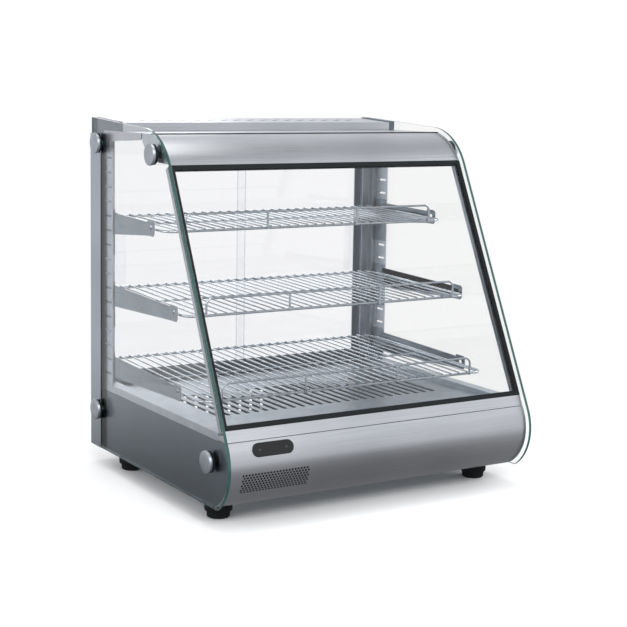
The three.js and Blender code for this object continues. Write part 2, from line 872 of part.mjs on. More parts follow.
function sideGlass(side) {
  const low = footHeight;
  const rear = yRear - lipThickness - gap;
  const outline = [
    ...points2([[rear, low]]),
    roofPoint(rear, 0),
    ...bendPoints(0).reverse(),
    ...nosePoints(0, low, 14).reverse(),
  ];
  const holes = Object.keys(knobPlaces).map((place) => knobHole(place, studRadius + 2));
  return alongX(outline, span(side, bodyHalf, glassOuter), holes);
}

const sealTop = (canopyBottom - slantStart) / slantAlong.y - gap * 2;

function paneBlank(clearance) {
  const margin = sealWidth - paneEngage - clearance;
  return box(
    [-steelHalf + margin, steelHalf - margin],
    [margin, sealTop - margin],
    [-paneSetback - paneThickness - clearance, -paneSetback + clearance],
  );
}

function frontGlass() {
  return onSlant(paneBlank(0));
}

function frontSeal() {
  const outer = rectangle([-steelHalf, steelHalf], [0, sealTop]);
  const inner = rectangle(
    [-steelHalf + sealWidth, steelHalf - sealWidth],
    [sealWidth, sealTop - sealWidth],
  );
  const frame = alongZ(outer, [-sealDepth, 0], [inner]);
  const jambs = [-1, 1].map((side) => box(
    span(side, steelHalf - sealWidth, steelHalf),
    [0, sealTop],
    [-sealSideDepth, -sealDepth / 2],
  ));
  return onSlant(cut(join([frame, ...jambs]), [paneBlank(gap)]));
}

function glassKnob(place, side) {
  const [y, z] = knobPlaces[place];
  const face = gap + (place.startsWith('rear') ? coverOuter : glassOuter);
  const washerEnd = glassOuter + knobWasher;
  const end = washerEnd + knobCap;
  const washerRadius = knobRadius - 1.5;
  const knob = turned([
    [0, bodyHalf - studDepth], [studRadius, bodyHalf - studDepth], [studRadius, face],
    [washerRadius, face], [washerRadius, washerEnd], [knobRadius, washerEnd + 0.6],
    [knobRadius, end - 1], [knobRadius - 1, end], [0, end],
  ], 14);
  return knob.rotateY(side * Math.PI / 2).translate(0, y, z);
}

function foot() {
  const r = footRadius;
  return turned([
    [0, 0], [r - 6, 0], [r - 4, 2], [r - 4, 11], [r, 13], [r, footHeight - 3], [r - 1.5, footHeight - gap],
    [0, footHeight - gap],
  ], 16);
}

// Shelves: each hangs from a slot of the standards and slopes a little to the front.

const shelfRear = postFront - shelfBackGap;
const shelfHalf = bodyHalf - shelfSideGap;
const webOuter = standardOuter - standardThickness - 1;
const slotsBetween = Math.floor((canopyBottom - shelfHeadroom - slotZ(1)) / 2 / slotPitch);

function shelfPlan(level) {
  const slot = 1 + level * slotsBetween;
  const z = slotZ(slot);
  const pane = slantPoint(z + fenceHeight, bodyInset + paneSetback + paneThickness);
  const front = pane.x + shelfFrontClearance[level];
  return { slot, z, front, depth: shelfRear - front };
}

function shelfGrid({ depth }) {
  const x = [-shelfHalf, shelfHalf];
  const hole = roundedRectangle(
    [x[0] + ringRod, x[1] - ringRod],
    [-depth + ringRod, -ringRod],
    ringCorner - ringRod,
    4,
  );
  const top = -wireSize / 2 + wireSink;
  const z = [top - ringRod, top];
  const ring = alongZ(roundedRectangle(x, [-depth, 0], ringCorner, 4), z, [hole]);
  const pieces = [ring];
  pieces.push(box([x[0] + 2, x[1] - 2], [-(depth + midRod) / 2, -(depth - midRod) / 2], [z[0] + 0.5, z[1]]));
  const count = Math.floor(2 * (shelfHalf - wireSideGap) / wirePitch);
  for (let i = 0; i <= count; i += 1) {
    const centre = (i - count / 2) * wirePitch;
    pieces.push(box(
      [centre - wireSize / 2, centre + wireSize / 2],
      [-depth + 1, -1],
      [-wireSize / 2, wireSize / 2],
    ));
  }
  return join(pieces);
}

// A low rail along the shelf's front edge keeps the food from sliding off.
function shelfFence({ depth }) {
  const half = steelHalf - fenceSideGap - sealWidth;
  const low = -ringRod;
  const corner = fenceCorner;
  const top = new THREE.Vector2(0, fenceHeight - corner);
  const hoop = (radius) => [-1, 1].flatMap((side) => {
    const centre = new THREE.Vector2(side * (half - corner), top.y);
    const from = side < 0 ? 0 : Math.PI / 2;
    return arcPoints(centre, radius, from, from + Math.PI / 2, 4);
  });
  const legs = [-1, 1].flatMap((side) => {
    const x = side * fencePostOffset;
    const rail = fenceHeight - fenceRod;
    const faces = [x - fenceRod / 2, x + fenceRod / 2];
    return [[faces[0], rail], [faces[0], low], [faces[1], low], [faces[1], rail]];
  });
  const outer = [...points2([[-half, low]]), ...hoop(corner), ...points2([[half, low]])];
  const inner = [...points2([[-half + fenceRod, low]]), ...hoop(corner - fenceRod)];
  const right = inner.splice(6);
  const last = points2([[half - fenceRod, low]]);
  const outline = [...inner, ...points2(legs), ...right, ...last, ...outer.reverse()];
  return alongY(outline, [-depth - fenceRod - gap, -depth - gap]);
}

// Brackets hook into the standards; the shelf's side rods lie on their inner ledge.
function shelfBracket({ slot, z, front }, level, side) {
  const slope = Math.tan(shelfSlope);
  const plane = (y) => z - (shelfRear - y) * slope;
  const plateFront = postFront - standardWidth - hookPlate.ahead;
  const plateRear = postFront - hookPlate.rearGap;
  const armFront = front + bracketSetback[level];
  const armTop = (y) => plane(y) + armRise;
  const drop = Math.min(hookPlate.drop, z - baseTop - hookPlate.floorGap);
  const clipFront = armFront - clip.length;
  const clipMid = (armFront + clipFront) / 2;
  const outline = points2([
    [plateRear, z - drop], [plateRear, z + hookPlate.rise], [plateFront, z + hookPlate.rise],
    [plateFront, armTop(plateFront)], [armFront, armTop(armFront)], [armFront, armTop(armFront) + clip.rise],
    [clipFront + clip.chamfer, armTop(clipFront) + clip.rise], [clipFront, armTop(clipFront)],
    [clipFront, armTop(armFront) - clip.depth], [clipFront + clip.chamfer, armTop(armFront) - armDepthFront],
    [armFront, armTop(armFront) - armDepthFront], [plateFront, armTop(plateFront) - armDepthRear],
    [plateFront, z - drop],
  ]).reverse();
  const web = alongX(outline, span(side, webOuter - sheet, webOuter), [
    circle(clipMid, armTop(clipMid) - clip.holeDrop, clip.hole, 10),
    circle(plateFront + 2 * clip.backHole, armTop(plateFront) - clip.backHole, clip.backHole, 8),
  ]);
  const under = (wireSize / 2 - wireSink + ringRod + gap) / Math.cos(shelfSlope);
  const ledge = points2([
    [plateFront + 2, plane(plateFront + 2) - under], [armFront, plane(armFront) - under],
    [armFront, plane(armFront) - under - sheet], [plateFront + 2, plane(plateFront + 2) - under - sheet],
  ]);
  const shelf = alongX(ledge, span(side, shelfHalf - ledgeWidth, webOuter - sheet / 2));
  const hooks = [slot - 1, slot].map((index) => box(
    span(side, webOuter - sheet / 2, standardOuter - 0.2),
    [standardMid - slotWidth / 2 + 3, standardMid + slotWidth / 2 - 3],
    [slotZ(index) - slotHeight / 2 + 1, slotZ(index) + slotHeight / 2 - 1],
  ));
  return join([web, shelf, ...hooks]);
}

// Assembly

const finishes = {
  brushed: { color: 0xb9bcc0, roughness: 0.35, metalness: 1 },
  darkSteel: { color: 0x4d565f, roughness: 0.4, metalness: 0.9 },
  zinc: { color: 0x9aa3aa, roughness: 0.45, metalness: 0.9 },
  chrome: { color: 0xdfe3e6, roughness: 0.12, metalness: 1 },
  glass: { color: 0x9fc4bc, roughness: 0.05, metalness: 0, transparent: true, opacity: 0.35 },
  rubber: { color: 0x151719, roughness: 0.8, metalness: 0 },
  plastic: { color: 0x1c1f22, roughness: 0.45, metalness: 0 },
  lamp: { color: 0xfff6e2, roughness: 0.2, metalness: 0 },
};

const hotCase = new THREE.Group();

function add(name, geometry, finish, parent = hotCase) {
  const mesh = new THREE.Mesh(geometry, new THREE.MeshStandardMaterial(finishes[finish]));
  mesh.name = name;
  parent.add(mesh);
  return mesh;
}

const sides = { left: -1, right: 1 };
const levels = ['lower', 'middle', 'upper'];

add('base_bottom_plate', bottomPlate(), 'zinc');
add('base_front_panel', frontPanel(), 'brushed');
add('base_front_ledge', frontLedge(), 'brushed');
add('base_rear_panel', rearPanel(), 'darkSteel');
add('floor_deck', floorDeck(), 'zinc');
add('heating_element', heatingElement(), 'darkSteel');
add('display_window', displayBlank(0), 'plastic');
add('control_plate', controlPlate(), 'plastic');
add('rocker_power', rockerKey(rockerX[0]), 'plastic');
add('rocker_light', rockerKey(rockerX[1]), 'plastic');
add('thermostat_knob', thermostatKnob(), 'plastic');
add('cable_gland', cableGland(), 'rubber');
add('rear_header', rearHeader(), 'zinc');
add('top_box', topBox(), 'brushed');
add('roof_tray', roofTray(), 'brushed');
add('canopy', canopy(), 'brushed');
add('lamp_reflector', lampReflector(), 'zinc');
add('lamp_tube', lampTube(), 'lamp');
add('front_glass', frontGlass(), 'glass');
add('front_seal', frontSeal(), 'rubber');
add('door_track_bottom', doorTrack(false), 'plastic');
add('door_track_top', doorTrack(true), 'plastic');

for (const [word, side] of Object.entries(sides)) {
  const index = side < 0 ? 0 : 1;
  add(`base_side_${word}`, baseSide(side), 'darkSteel');
  add(`rear_post_${word}`, rearPost(side), 'zinc');
  add(`shelf_standard_${word}`, shelfStandard(side), 'zinc');
  add(`top_cap_${word}`, topCap(side), 'plastic');
  add(`side_glass_${word}`, sideGlass(side), 'glass');
  add(`door_${word}`, doorPanel(index), 'glass');
  add(`door_handle_${word}`, doorHandle(index), 'glass');
  for (const place of Object.keys(knobPlaces)) {
    add(`glass_knob_${place}_${word}`, glassKnob(place, side), 'brushed');
  }
  for (const end of ['front', 'rear']) {
    const y = end === 'front' ? -yRear + footInsetFront : yRear - footInsetRear;
    add(`foot_${end}_${word}`, foot().translate(side * (bodyHalf - footInsetX), y, 0), 'rubber');
  }
}

levels.forEach((word, level) => {
  const plan = shelfPlan(level);
  const shelf = new THREE.Group();
  shelf.position.set(0, shelfRear, plan.z);
  shelf.rotation.x = shelfSlope;
  hotCase.add(shelf);
  add(`shelf_grid_${word}`, shelfGrid(plan), 'chrome', shelf);
  add(`shelf_fence_${word}`, shelfFence(plan), 'chrome', shelf);
  for (const [hand, side] of Object.entries(sides)) {
    add(`bracket_${word}_${hand}`, shelfBracket(plan, level, side), 'zinc');
  }
});

export default hotCase;
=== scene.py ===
import json
import math

import bmesh
import bpy
from mathutils import Matrix, Vector


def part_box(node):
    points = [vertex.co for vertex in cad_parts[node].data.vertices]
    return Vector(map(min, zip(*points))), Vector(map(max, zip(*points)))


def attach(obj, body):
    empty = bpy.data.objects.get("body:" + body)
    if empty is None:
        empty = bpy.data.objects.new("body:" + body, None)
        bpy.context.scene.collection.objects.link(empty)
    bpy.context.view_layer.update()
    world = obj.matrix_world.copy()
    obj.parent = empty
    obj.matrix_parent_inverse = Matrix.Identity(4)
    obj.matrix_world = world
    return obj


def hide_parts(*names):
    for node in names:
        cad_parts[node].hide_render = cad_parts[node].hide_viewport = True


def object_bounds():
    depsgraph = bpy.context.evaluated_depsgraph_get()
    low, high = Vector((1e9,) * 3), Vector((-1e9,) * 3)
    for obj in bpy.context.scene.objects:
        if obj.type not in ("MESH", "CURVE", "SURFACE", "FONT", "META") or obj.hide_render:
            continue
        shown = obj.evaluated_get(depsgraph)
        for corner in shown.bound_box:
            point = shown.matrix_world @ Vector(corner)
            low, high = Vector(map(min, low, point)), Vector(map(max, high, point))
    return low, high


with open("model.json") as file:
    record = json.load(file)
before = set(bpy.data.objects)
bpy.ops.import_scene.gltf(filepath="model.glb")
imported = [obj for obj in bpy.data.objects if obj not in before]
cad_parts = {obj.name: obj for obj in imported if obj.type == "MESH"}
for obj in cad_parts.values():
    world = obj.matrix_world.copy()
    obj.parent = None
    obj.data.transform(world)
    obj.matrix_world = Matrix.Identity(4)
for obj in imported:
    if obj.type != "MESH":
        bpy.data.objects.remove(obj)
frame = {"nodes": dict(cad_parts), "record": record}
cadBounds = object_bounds()
bodyOfNode = {node: body for body, nodes in frame["record"]["behaviour"]["bodies"].items() for node in nodes}
mm = 0.001
print("frame loaded with", len(bodyOfNode), "nodes")


def addObject(name, data):
    made = bpy.data.objects.new(name, data)
    bpy.context.scene.collection.objects.link(made)
    return made


# Camera: stands left of the case and a little above it, with a long lens
cameraView = {"place": (-1.4482, -2.3205, 0.7503), "yaw": -0.5337, "pitch": 0.1230, "roll": 0.0135,
              "lens": 82.37, "shift": (0.0638, -0.0797)}


def makeCamera(view):
    yaw, pitch, roll = view["yaw"], view["pitch"], view["roll"]
    ahead = Vector((-math.sin(yaw) * math.cos(pitch), math.cos(yaw) * math.cos(pitch), -math.sin(pitch)))
    level = Vector((math.cos(yaw), math.sin(yaw), 0))
    upright = level.cross(ahead)
    right = math.cos(roll) * level + math.sin(roll) * upright
    up = -math.sin(roll) * level + math.cos(roll) * upright
    camera = addObject("viewCamera", bpy.data.cameras.new("viewCamera"))
    turn = Matrix((right, up, -ahead)).transposed().to_4x4()
    camera.matrix_world = Matrix.Translation(view["place"]) @ turn
    camera.data.lens = view["lens"]
    camera.data.shift_x, camera.data.shift_y = view["shift"]
    camera.data.clip_end = 60
    bpy.context.scene.camera = camera


makeCamera(cameraView)


# Node helpers and colours
def addNode(tree, kind, links=None, **settings):
    node = tree.nodes.new(kind)
    for name, value in settings.items():
        setattr(node, name, value)
    for name, source in (links or {}).items():
        if isinstance(source, bpy.types.NodeSocket):
            tree.links.new(source, node.inputs[name])
        else:
            node.inputs[name].default_value = source
    return node


def hexColour(text):
    def linear(value):
        return value / 12.92 if value <= 0.04045 else ((value + 0.055) / 1.055) ** 2.4
    return tuple(linear(int(text[i:i + 2], 16) / 255) for i in (1, 3, 5)) + (1.0,)


def newMaterial(name):
    material = bpy.data.materials.new(name)
    material.use_nodes = True
    material.node_tree.nodes.clear()
    return material, material.node_tree


def grainNoise(tree, size, detail=2.0):
    # size is the length of one grain along X, Y and Z in millimetres
    place = addNode(tree, "ShaderNodeTexCoord")
    scale = tuple(1 / (length * mm) for length in size)
    grain = addNode(tree, "ShaderNodeMapping", {"Vector": place.outputs["Object"], "Scale": scale})
    return addNode(tree, "ShaderNodeTexNoise", {"Vector": grain.outputs["Vector"], "Scale": 1.0,
                                                "Detail": detail}).outputs["Fac"]


def remap(tree, value, low, high, toLow, toHigh, curve="LINEAR"):
    return addNode(tree, "ShaderNodeMapRange", {
        "Value": value, "From Min": low, "From Max": high, "To Min": toLow, "To Max": toHigh},
        interpolation_type=curve).outputs[0]


def blendColours(tree, share, dark, light):
    # a mix node's colours are its sockets 6 and 7, and come out at 2
    mixed = addNode(tree, "ShaderNodeMix", {"Factor": share}, data_type="RGBA")
    mixed.inputs[6].default_value, mixed.inputs[7].default_value = hexColour(dark), hexColour(light)
    return mixed.outputs[2]


def mixShaders(tree, share, first, second):
    return addNode(tree, "ShaderNodeMixShader", {0: share, 1: first.outputs[0], 2: second.outputs[0]})


def bumpFrom(tree, height, strength, distance):
    return addNode(tree, "ShaderNodeBump", {"Height": height, "Strength": strength,
                                            "Distance": distance}).outputs[0]


def closeTree(tree, shader, kind="ShaderNodeOutputMaterial"):
    addNode(tree, kind, {"Surface": shader.outputs[0]})


# Metals: rolled or brushed sheet has long fine lines, cast and turned pieces have an even tooth
def metalFinish(name, light, dark, grain, roughness, spread=0.08, bump=0.02, cloud=180, metallic=1.0):
    material, tree = newMaterial(name)
    lines = grainNoise(tree, grain, 4.0)
    broad = grainNoise(tree, (cloud,) * 3)
    both = addNode(tree, "ShaderNodeMath", {0: lines, 1: broad}, operation="ADD")
    share = remap(tree, both.outputs[0], 0.7, 1.3, 0.0, 1.0)
    rough = remap(tree, lines, 0.25, 0.75, roughness - spread / 2, roughness + spread / 2)
    closeTree(tree, addNode(tree, "ShaderNodeBsdfPrincipled", {
        "Base Color": blendColours(tree, share, dark, light), "Roughness": rough, "Metallic": metallic,
        "Normal": bumpFrom(tree, lines, bump, 0.0005)}))
    return material


# Plastics and rubber: a fine moulded tooth, with dust in it that lifts the colour a little
def mouldedFinish(name, light, dark, grain, roughness, spread=0.1, bump=0.05, shine=0.5):
    material, tree = newMaterial(name)
    tooth = grainNoise(tree, (grain,) * 3, 3.0)
    dust = grainNoise(tree, (35,) * 3, 4.0)
    rough = remap(tree, dust, 0.3, 0.7, roughness - spread / 2, roughness + spread / 2)
    closeTree(tree, addNode(tree, "ShaderNodeBsdfPrincipled", {
        "Base Color": blendColours(tree, dust, dark, light), "Roughness": rough,
        "Normal": bumpFrom(tree, tooth, bump, 0.0003), "Specular IOR Level": shine}))
    return material


# Flat glass: clear face on, mirrors more at a slant; faint smears break up the reflection
def paneFinish(name, tint, smear=0.03):
    material, tree = newMaterial(name)
    rough = remap(tree, grainNoise(tree, (90, 90, 140), 5.0), 0.4, 0.8, 0.0, smear)
    through = addNode(tree, "ShaderNodeBsdfTransparent", {"Color": hexColour(tint)})
    mirror = addNode(tree, "ShaderNodeBsdfGlossy", {"Color": (1, 1, 1, 1), "Roughness": rough})
    slant = addNode(tree, "ShaderNodeLayerWeight", {"Blend": 0.5})
    rise = addNode(tree, "ShaderNodeMath", {0: slant.outputs["Facing"], 1: 5.0}, operation="POWER")
    share = remap(tree, rise.outputs[0], 0.0, 1.0, 0.035, 1.0)
    closeTree(tree, mixShaders(tree, share, through, mirror))
    return material


# Cut edge of a glass sheet: a glossy coloured body that lets some light through
def glassEdgeFinish(name, light, dark, clear, tint):
    material, tree = newMaterial(name)
    depth = grainNoise(tree, (60, 60, 60), 3.0)
    body = addNode(tree, "ShaderNodeBsdfPrincipled", {
        "Base Color": blendColours(tree, depth, dark, light), "Roughness": 0.12, "Coat Weight": 0.6,
        "Coat Roughness": 0.05})
    through = addNode(tree, "ShaderNodeBsdfTransparent", {"Color": hexColour(tint)})
    closeTree(tree, mixShaders(tree, clear, body, through))
    return material


# Frosted quartz tube: milky, glows softly from inside
def tubeFinish(name):
    material, tree = newMaterial(name)
    rough = remap(tree, grainNoise(tree, (0.6,) * 3), 0.0, 1.0, 0.25, 0.4)
    closeTree(tree, addNode(tree, "ShaderNodeBsdfPrincipled", {
        "Base Color": hexColour("#f4f1e8"), "Roughness": rough,
        "Emission Color": hexColour("#fff4dc"), "Emission Strength": 1.2}))
    return material


finish = {
    # brushed stainless steel: long lines across the case, satin sheen
    "brushedSteel": metalFinish("brushedStainless", "#c9cacd", "#b4b6ba", (160, 0.5, 0.5), 0.3, bump=0.03),
    # stainless side sheet with a dark smoky film
    "caseSteel": metalFinish("smokedStainless", "#6b7680", "#5c666f", (140, 140, 0.6), 0.4, cloud=240),
    # galvanised sheet, cool grey with a soft cloud
    "zincSteel": metalFinish("galvanisedSheet", "#c3cacf", "#adb5bb", (6, 6, 6), 0.36, spread=0.14, cloud=28),
    # satin anodised extrusion, lines run up the post
    "postAluminium": metalFinish("anodisedAluminium", "#b0b5bb", "#9aa0a7", (0.5, 0.5, 120), 0.34, bump=0.02),
    # pressed bracket sheet, slightly blue
    "bracketSteel": metalFinish("pressedBracketSteel", "#8d979f", "#76818a", (1.2, 60, 1.2), 0.3, cloud=60),
    # bright chromium plate over wire
    "chromeWire": metalFinish("chromePlatedWire", "#bcc2c7", "#a2a9af", (8, 8, 8), 0.16, spread=0.06,
                               bump=0.01),
    # fine turned satin caps
    "knobSteel": metalFinish("turnedSatinSteel", "#b3b7bc", "#9ca1a7", (0.4, 0.4, 0.4), 0.42, cloud=25),
    # oxidised heater sheath, brown-grey
    "elementSheath": metalFinish("oxidisedSheath", "#5f5a56", "#3d3937", (3, 3, 3), 0.5, metallic=0.8,
                                 cloud=30),
    # toughened sheet, nearly colourless face on
    "paneClear": paneFinish("toughenedGlass", "#fdfdfd"),
    # thinner door sheet, clearer still
    "paneDoor": paneFinish("doorGlass", "#fdfdfe"),
    # polished edge of the thick sheet, deep sea green
    "glassEdge": glassEdgeFinish("toughenedGlassEdge", "#1f524b", "#103634", 0.03, "#7fb5a8"),
    # polished edge of the thin sheet, pale and half clear
    "doorEdge": glassEdgeFinish("doorGlassEdge", "#c3cacb", "#a9b2b3", 0.7, "#e4eaea"),
    # milky tube, warm and softly lit
    "lampTube": tubeFinish("frostedQuartz"),
    # glossy polycarbonate window, black
    "displayBlack": mouldedFinish("glossyPolycarbonate", "#0b0d10", "#050608", 0.5, 0.22, bump=0.01),
    # moulded ABS, near black with a fine tooth
    "blackPlastic": mouldedFinish("mouldedAbs", "#2b2e31", "#191b1d", 0.7, 0.45),
    # extruded EPDM gasket, dull black
    "blackRubber": mouldedFinish("epdmRubber", "#151a1d", "#0b0f11", 0.9, 0.7, bump=0.12, shine=0.2),
    # painted shade: matt black that stands in for the shade inside holes and slots; soaks up light, no sheen
    # even at a slant
    "paintedShadeBlack": mouldedFinish("paintedShadeBlack", "#15181a", "#0b0d0f", 1.2, 0.95, bump=0.2, shine=0.0),
    # dim marks that show only faintly through the dark window
    "dimPrint": mouldedFinish("dimPrint", "#4b5157", "#3c4248", 0.5, 0.4),
    # injection-moulded end cap, blue-grey with a fine tooth
    "capPlastic": mouldedFinish("mouldedCapGrey", "#515b64", "#434c54", 0.7, 0.42),
}
print("finishes made:", len(finish))


# Pieces from meshes
weldGap, sharpAngle = 0.000002, math.radians(35)


def newPiece(name, mesh, finishes, body, replaces=()):
    piece = addObject(name, mesh)
    mesh.name = name
    if not mesh.materials:  # a tree has set its own already
        for key in finishes:
            mesh.materials.append(finish[key])
    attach(piece, body)
    if replaces:
        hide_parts(*replaces)
    return piece


def smoothMesh(mesh):
    mesh.shade_smooth()
    mesh.set_sharp_from_angle(angle=sharpAngle)
    return mesh


def meshFrom(work):
    mesh = bpy.data.meshes.new("work")
    work.to_mesh(mesh)
    work.free()
    return smoothMesh(mesh)


def softenEdges(piece, width, segments=2):
    bevel = piece.modifiers.new("softEdges", "BEVEL")
    bevel.width, bevel.segments, bevel.limit_method = width, segments, "ANGLE"
    bevel.angle_limit = sharpAngle
    bevel.harden_normals = True
    bevel.miter_outer = "MITER_ARC"


def weldedWork(node):
    work = bmesh.new()
    work.from_mesh(frame["nodes"][node].data)
    bmesh.ops.remove_doubles(work, verts=work.verts, dist=weldGap)
    return work


def cleanMesh(node, holed=False):
    # a sheet with holes keeps its triangles: one face can't hold a hole
    work = weldedWork(node)
    if not holed:
        bmesh.ops.dissolve_limit(work, angle_limit=math.radians(0.5), verts=work.verts, edges=work.edges)
    return meshFrom(work)


def fromNode(node, key, edge, holed=False):
    # edge is the width of the softened edge in millimetres
    piece = newPiece(node + "_finished", cleanMesh(node, holed), [key], bodyOfNode[node], (node,))
    softenEdges(piece, edge * mm)


# Cross-sections of the case, from the boxes of its pieces
caseSize = {"noseRadius": 0.090, "noseRise": 0.075, "bendRadius": 0.120, "lean": 64.5, "roofPitch": 3.3,
            "inset": 0.008, "sheet": 0.0015, "footHeight": 0.036}
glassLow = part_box("side_glass_left")[0]
roofRear = Vector((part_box("rear_post_left")[1].y, cadBounds[1][2]))
leanAngle, pitchAngle = math.radians(caseSize["lean"]), math.radians(caseSize["roofPitch"])
noseCentre = Vector((glassLow.y + caseSize["noseRadius"], caseSize["footHeight"] + caseSize["noseRise"]))
slantAlong = Vector((math.cos(leanAngle), math.sin(leanAngle)))
slantOut = Vector((-math.sin(leanAngle), math.cos(leanAngle)))
roofAlong = Vector((math.cos(pitchAngle), math.sin(pitchAngle)))
roofOut = Vector((-math.sin(pitchAngle), math.cos(pitchAngle)))


def slantPoint(z, inset):
    start = noseCentre + slantOut * (caseSize["noseRadius"] - inset)
    return start + slantAlong * ((z - start.y) / slantAlong.y)


def roofPoint(y, inset):
    start = roofRear - roofOut * inset
    return start + roofAlong * ((y - start.x) / roofAlong.x)


def findBend(radius):
    slant = slantPoint(roofRear.y, radius)
    roof = roofPoint(slant.x, radius)
    fall = (slant.y - roof.y) / (slantAlong.y - roofAlong.y / roofAlong.x * slantAlong.x)
    return slant - slantAlong * fall


bendCentre = findBend(caseSize["bendRadius"])
slantAngle, roofAngle = math.pi / 2 - leanAngle, math.pi / 2 - pitchAngle


def arcPoints(centre, radius, start, end, steps):
    turns = [start + (end - start) * i / steps for i in range(steps + 1)]
    return [Vector((centre.x - radius * math.cos(a), centre.y + radius * math.sin(a))) for a in turns]


def moveCopy(work, made, axis, value):
    # sets one coordinate of the corners that an extrusion has made
    for part in made["geom"]:
        if isinstance(part, bmesh.types.BMVert):
            part.co[axis] = value
    bmesh.ops.recalc_face_normals(work, faces=work.faces[:])


def prismAlongX(outline, left, right, holes=(), edgeIndex=0):
    # outline and holes are loops of Y and Z; walls take edgeIndex as their material
    work = bmesh.new()
    for loop in [outline, *holes]:
        verts = [work.verts.new((left, p[0], p[1])) for p in loop]
        for a, b in zip(verts, verts[1:] + verts[:1]):
            work.edges.new((a, b))
    bmesh.ops.triangle_fill(work, use_beauty=True, edges=work.edges[:])
    bmesh.ops.dissolve_limit(work, angle_limit=0.01, verts=[], edges=work.edges[:], delimit=set())
    made = bmesh.ops.extrude_face_region(work, geom=work.faces[:] + work.edges[:] + work.verts[:])
    moveCopy(work, made, 0, right)
    work.normal_update()
    for face in work.faces:
        face.material_index = 0 if abs(face.normal.x) > 0.9 else edgeIndex
    return meshFrom(work)


def circlePoints(centre, radius, sides=24):
    turns = [2 * math.pi * i / sides for i in range(sides)]
    return [Vector((centre.y + radius * math.cos(a), centre.z + radius * math.sin(a))) for a in turns]


def boxCentre(node):
    low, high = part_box(node)
    return (low + high) / 2


def turnedMesh(profile, axis, place, segments, indices=None):
    # profile is pairs of radius and height; it turns about an axis through place
    work = bmesh.new()
    rings = []
    for radius, height in profile:
        count = segments if radius else 1
        turns = [2 * math.pi * i / segments for i in range(count)]
        rings.append([work.verts.new((radius * math.cos(a), radius * math.sin(a), height)) for a in turns])
    for row, (low, high) in enumerate(zip(rings, rings[1:])):
        for i in range(segments):
            j = (i + 1) % segments
            corners = [low[i % len(low)], low[j % len(low)], high[j % len(high)], high[i % len(high)]]
            unique = list(dict.fromkeys(corners))
            if len(unique) > 2:
                face = work.faces.new(unique)
                face.material_index = indices[row] if indices else 0
    bmesh.ops.recalc_face_normals(work, faces=work.faces[:])
    turn = Vector((0, 0, 1)).rotation_difference(Vector(axis)).to_matrix().to_4x4()
    work.transform(Matrix.Translation(place) @ turn)
    return meshFrom(work)


# Geometry Nodes trees: wire racks, bent rods, sheets with rows of holes, small parts set in place
def newTree(name, inputs):
    tree = bpy.data.node_groups.new(name, "GeometryNodeTree")
    tree.interface.new_socket("Geometry", in_out="INPUT", socket_type="NodeSocketGeometry")
    for label, kind, value in inputs + [("Finish", "Material", None)]:
        socket = tree.interface.new_socket(label, in_out="INPUT", socket_type="NodeSocket" + kind)
        if value is not None:
            socket.default_value = value
    tree.interface.new_socket("Geometry", in_out="OUTPUT", socket_type="NodeSocketGeometry")
    return tree, addNode(tree, "NodeGroupInput")


def finishTree(tree, given, geometry):
    realised = addNode(tree, "GeometryNodeRealizeInstances", {"Geometry": geometry})
    painted = addNode(tree, "GeometryNodeSetMaterial", {"Geometry": realised.outputs[0],
                                                        "Material": given.outputs["Finish"]})
    addNode(tree, "NodeGroupOutput", {"Geometry": painted.outputs[0]})
    return tree


def mathNode(tree, operation, a, b):
    return addNode(tree, "ShaderNodeMath", {0: a, 1: b}, operation=operation).outputs[0]


def vectorNode(tree, x=0.0, y=0.0, z=0.0):
    return addNode(tree, "ShaderNodeCombineXYZ", {"X": x, "Y": y, "Z": z}).outputs[0]


def sweepRod(tree, path, radius, sides, capped=True):
    ring = addNode(tree, "GeometryNodeCurvePrimitiveCircle", {"Resolution": sides, "Radius": radius})
    return addNode(tree, "GeometryNodeCurveToMesh", {"Curve": path.outputs[0], "Profile Curve": ring.outputs[0],
                                                     "Fill Caps": capped}).outputs[0]


def lineNode(tree, start, end):
    return addNode(tree, "GeometryNodeCurvePrimitiveLine", {"Start": start, "End": end})


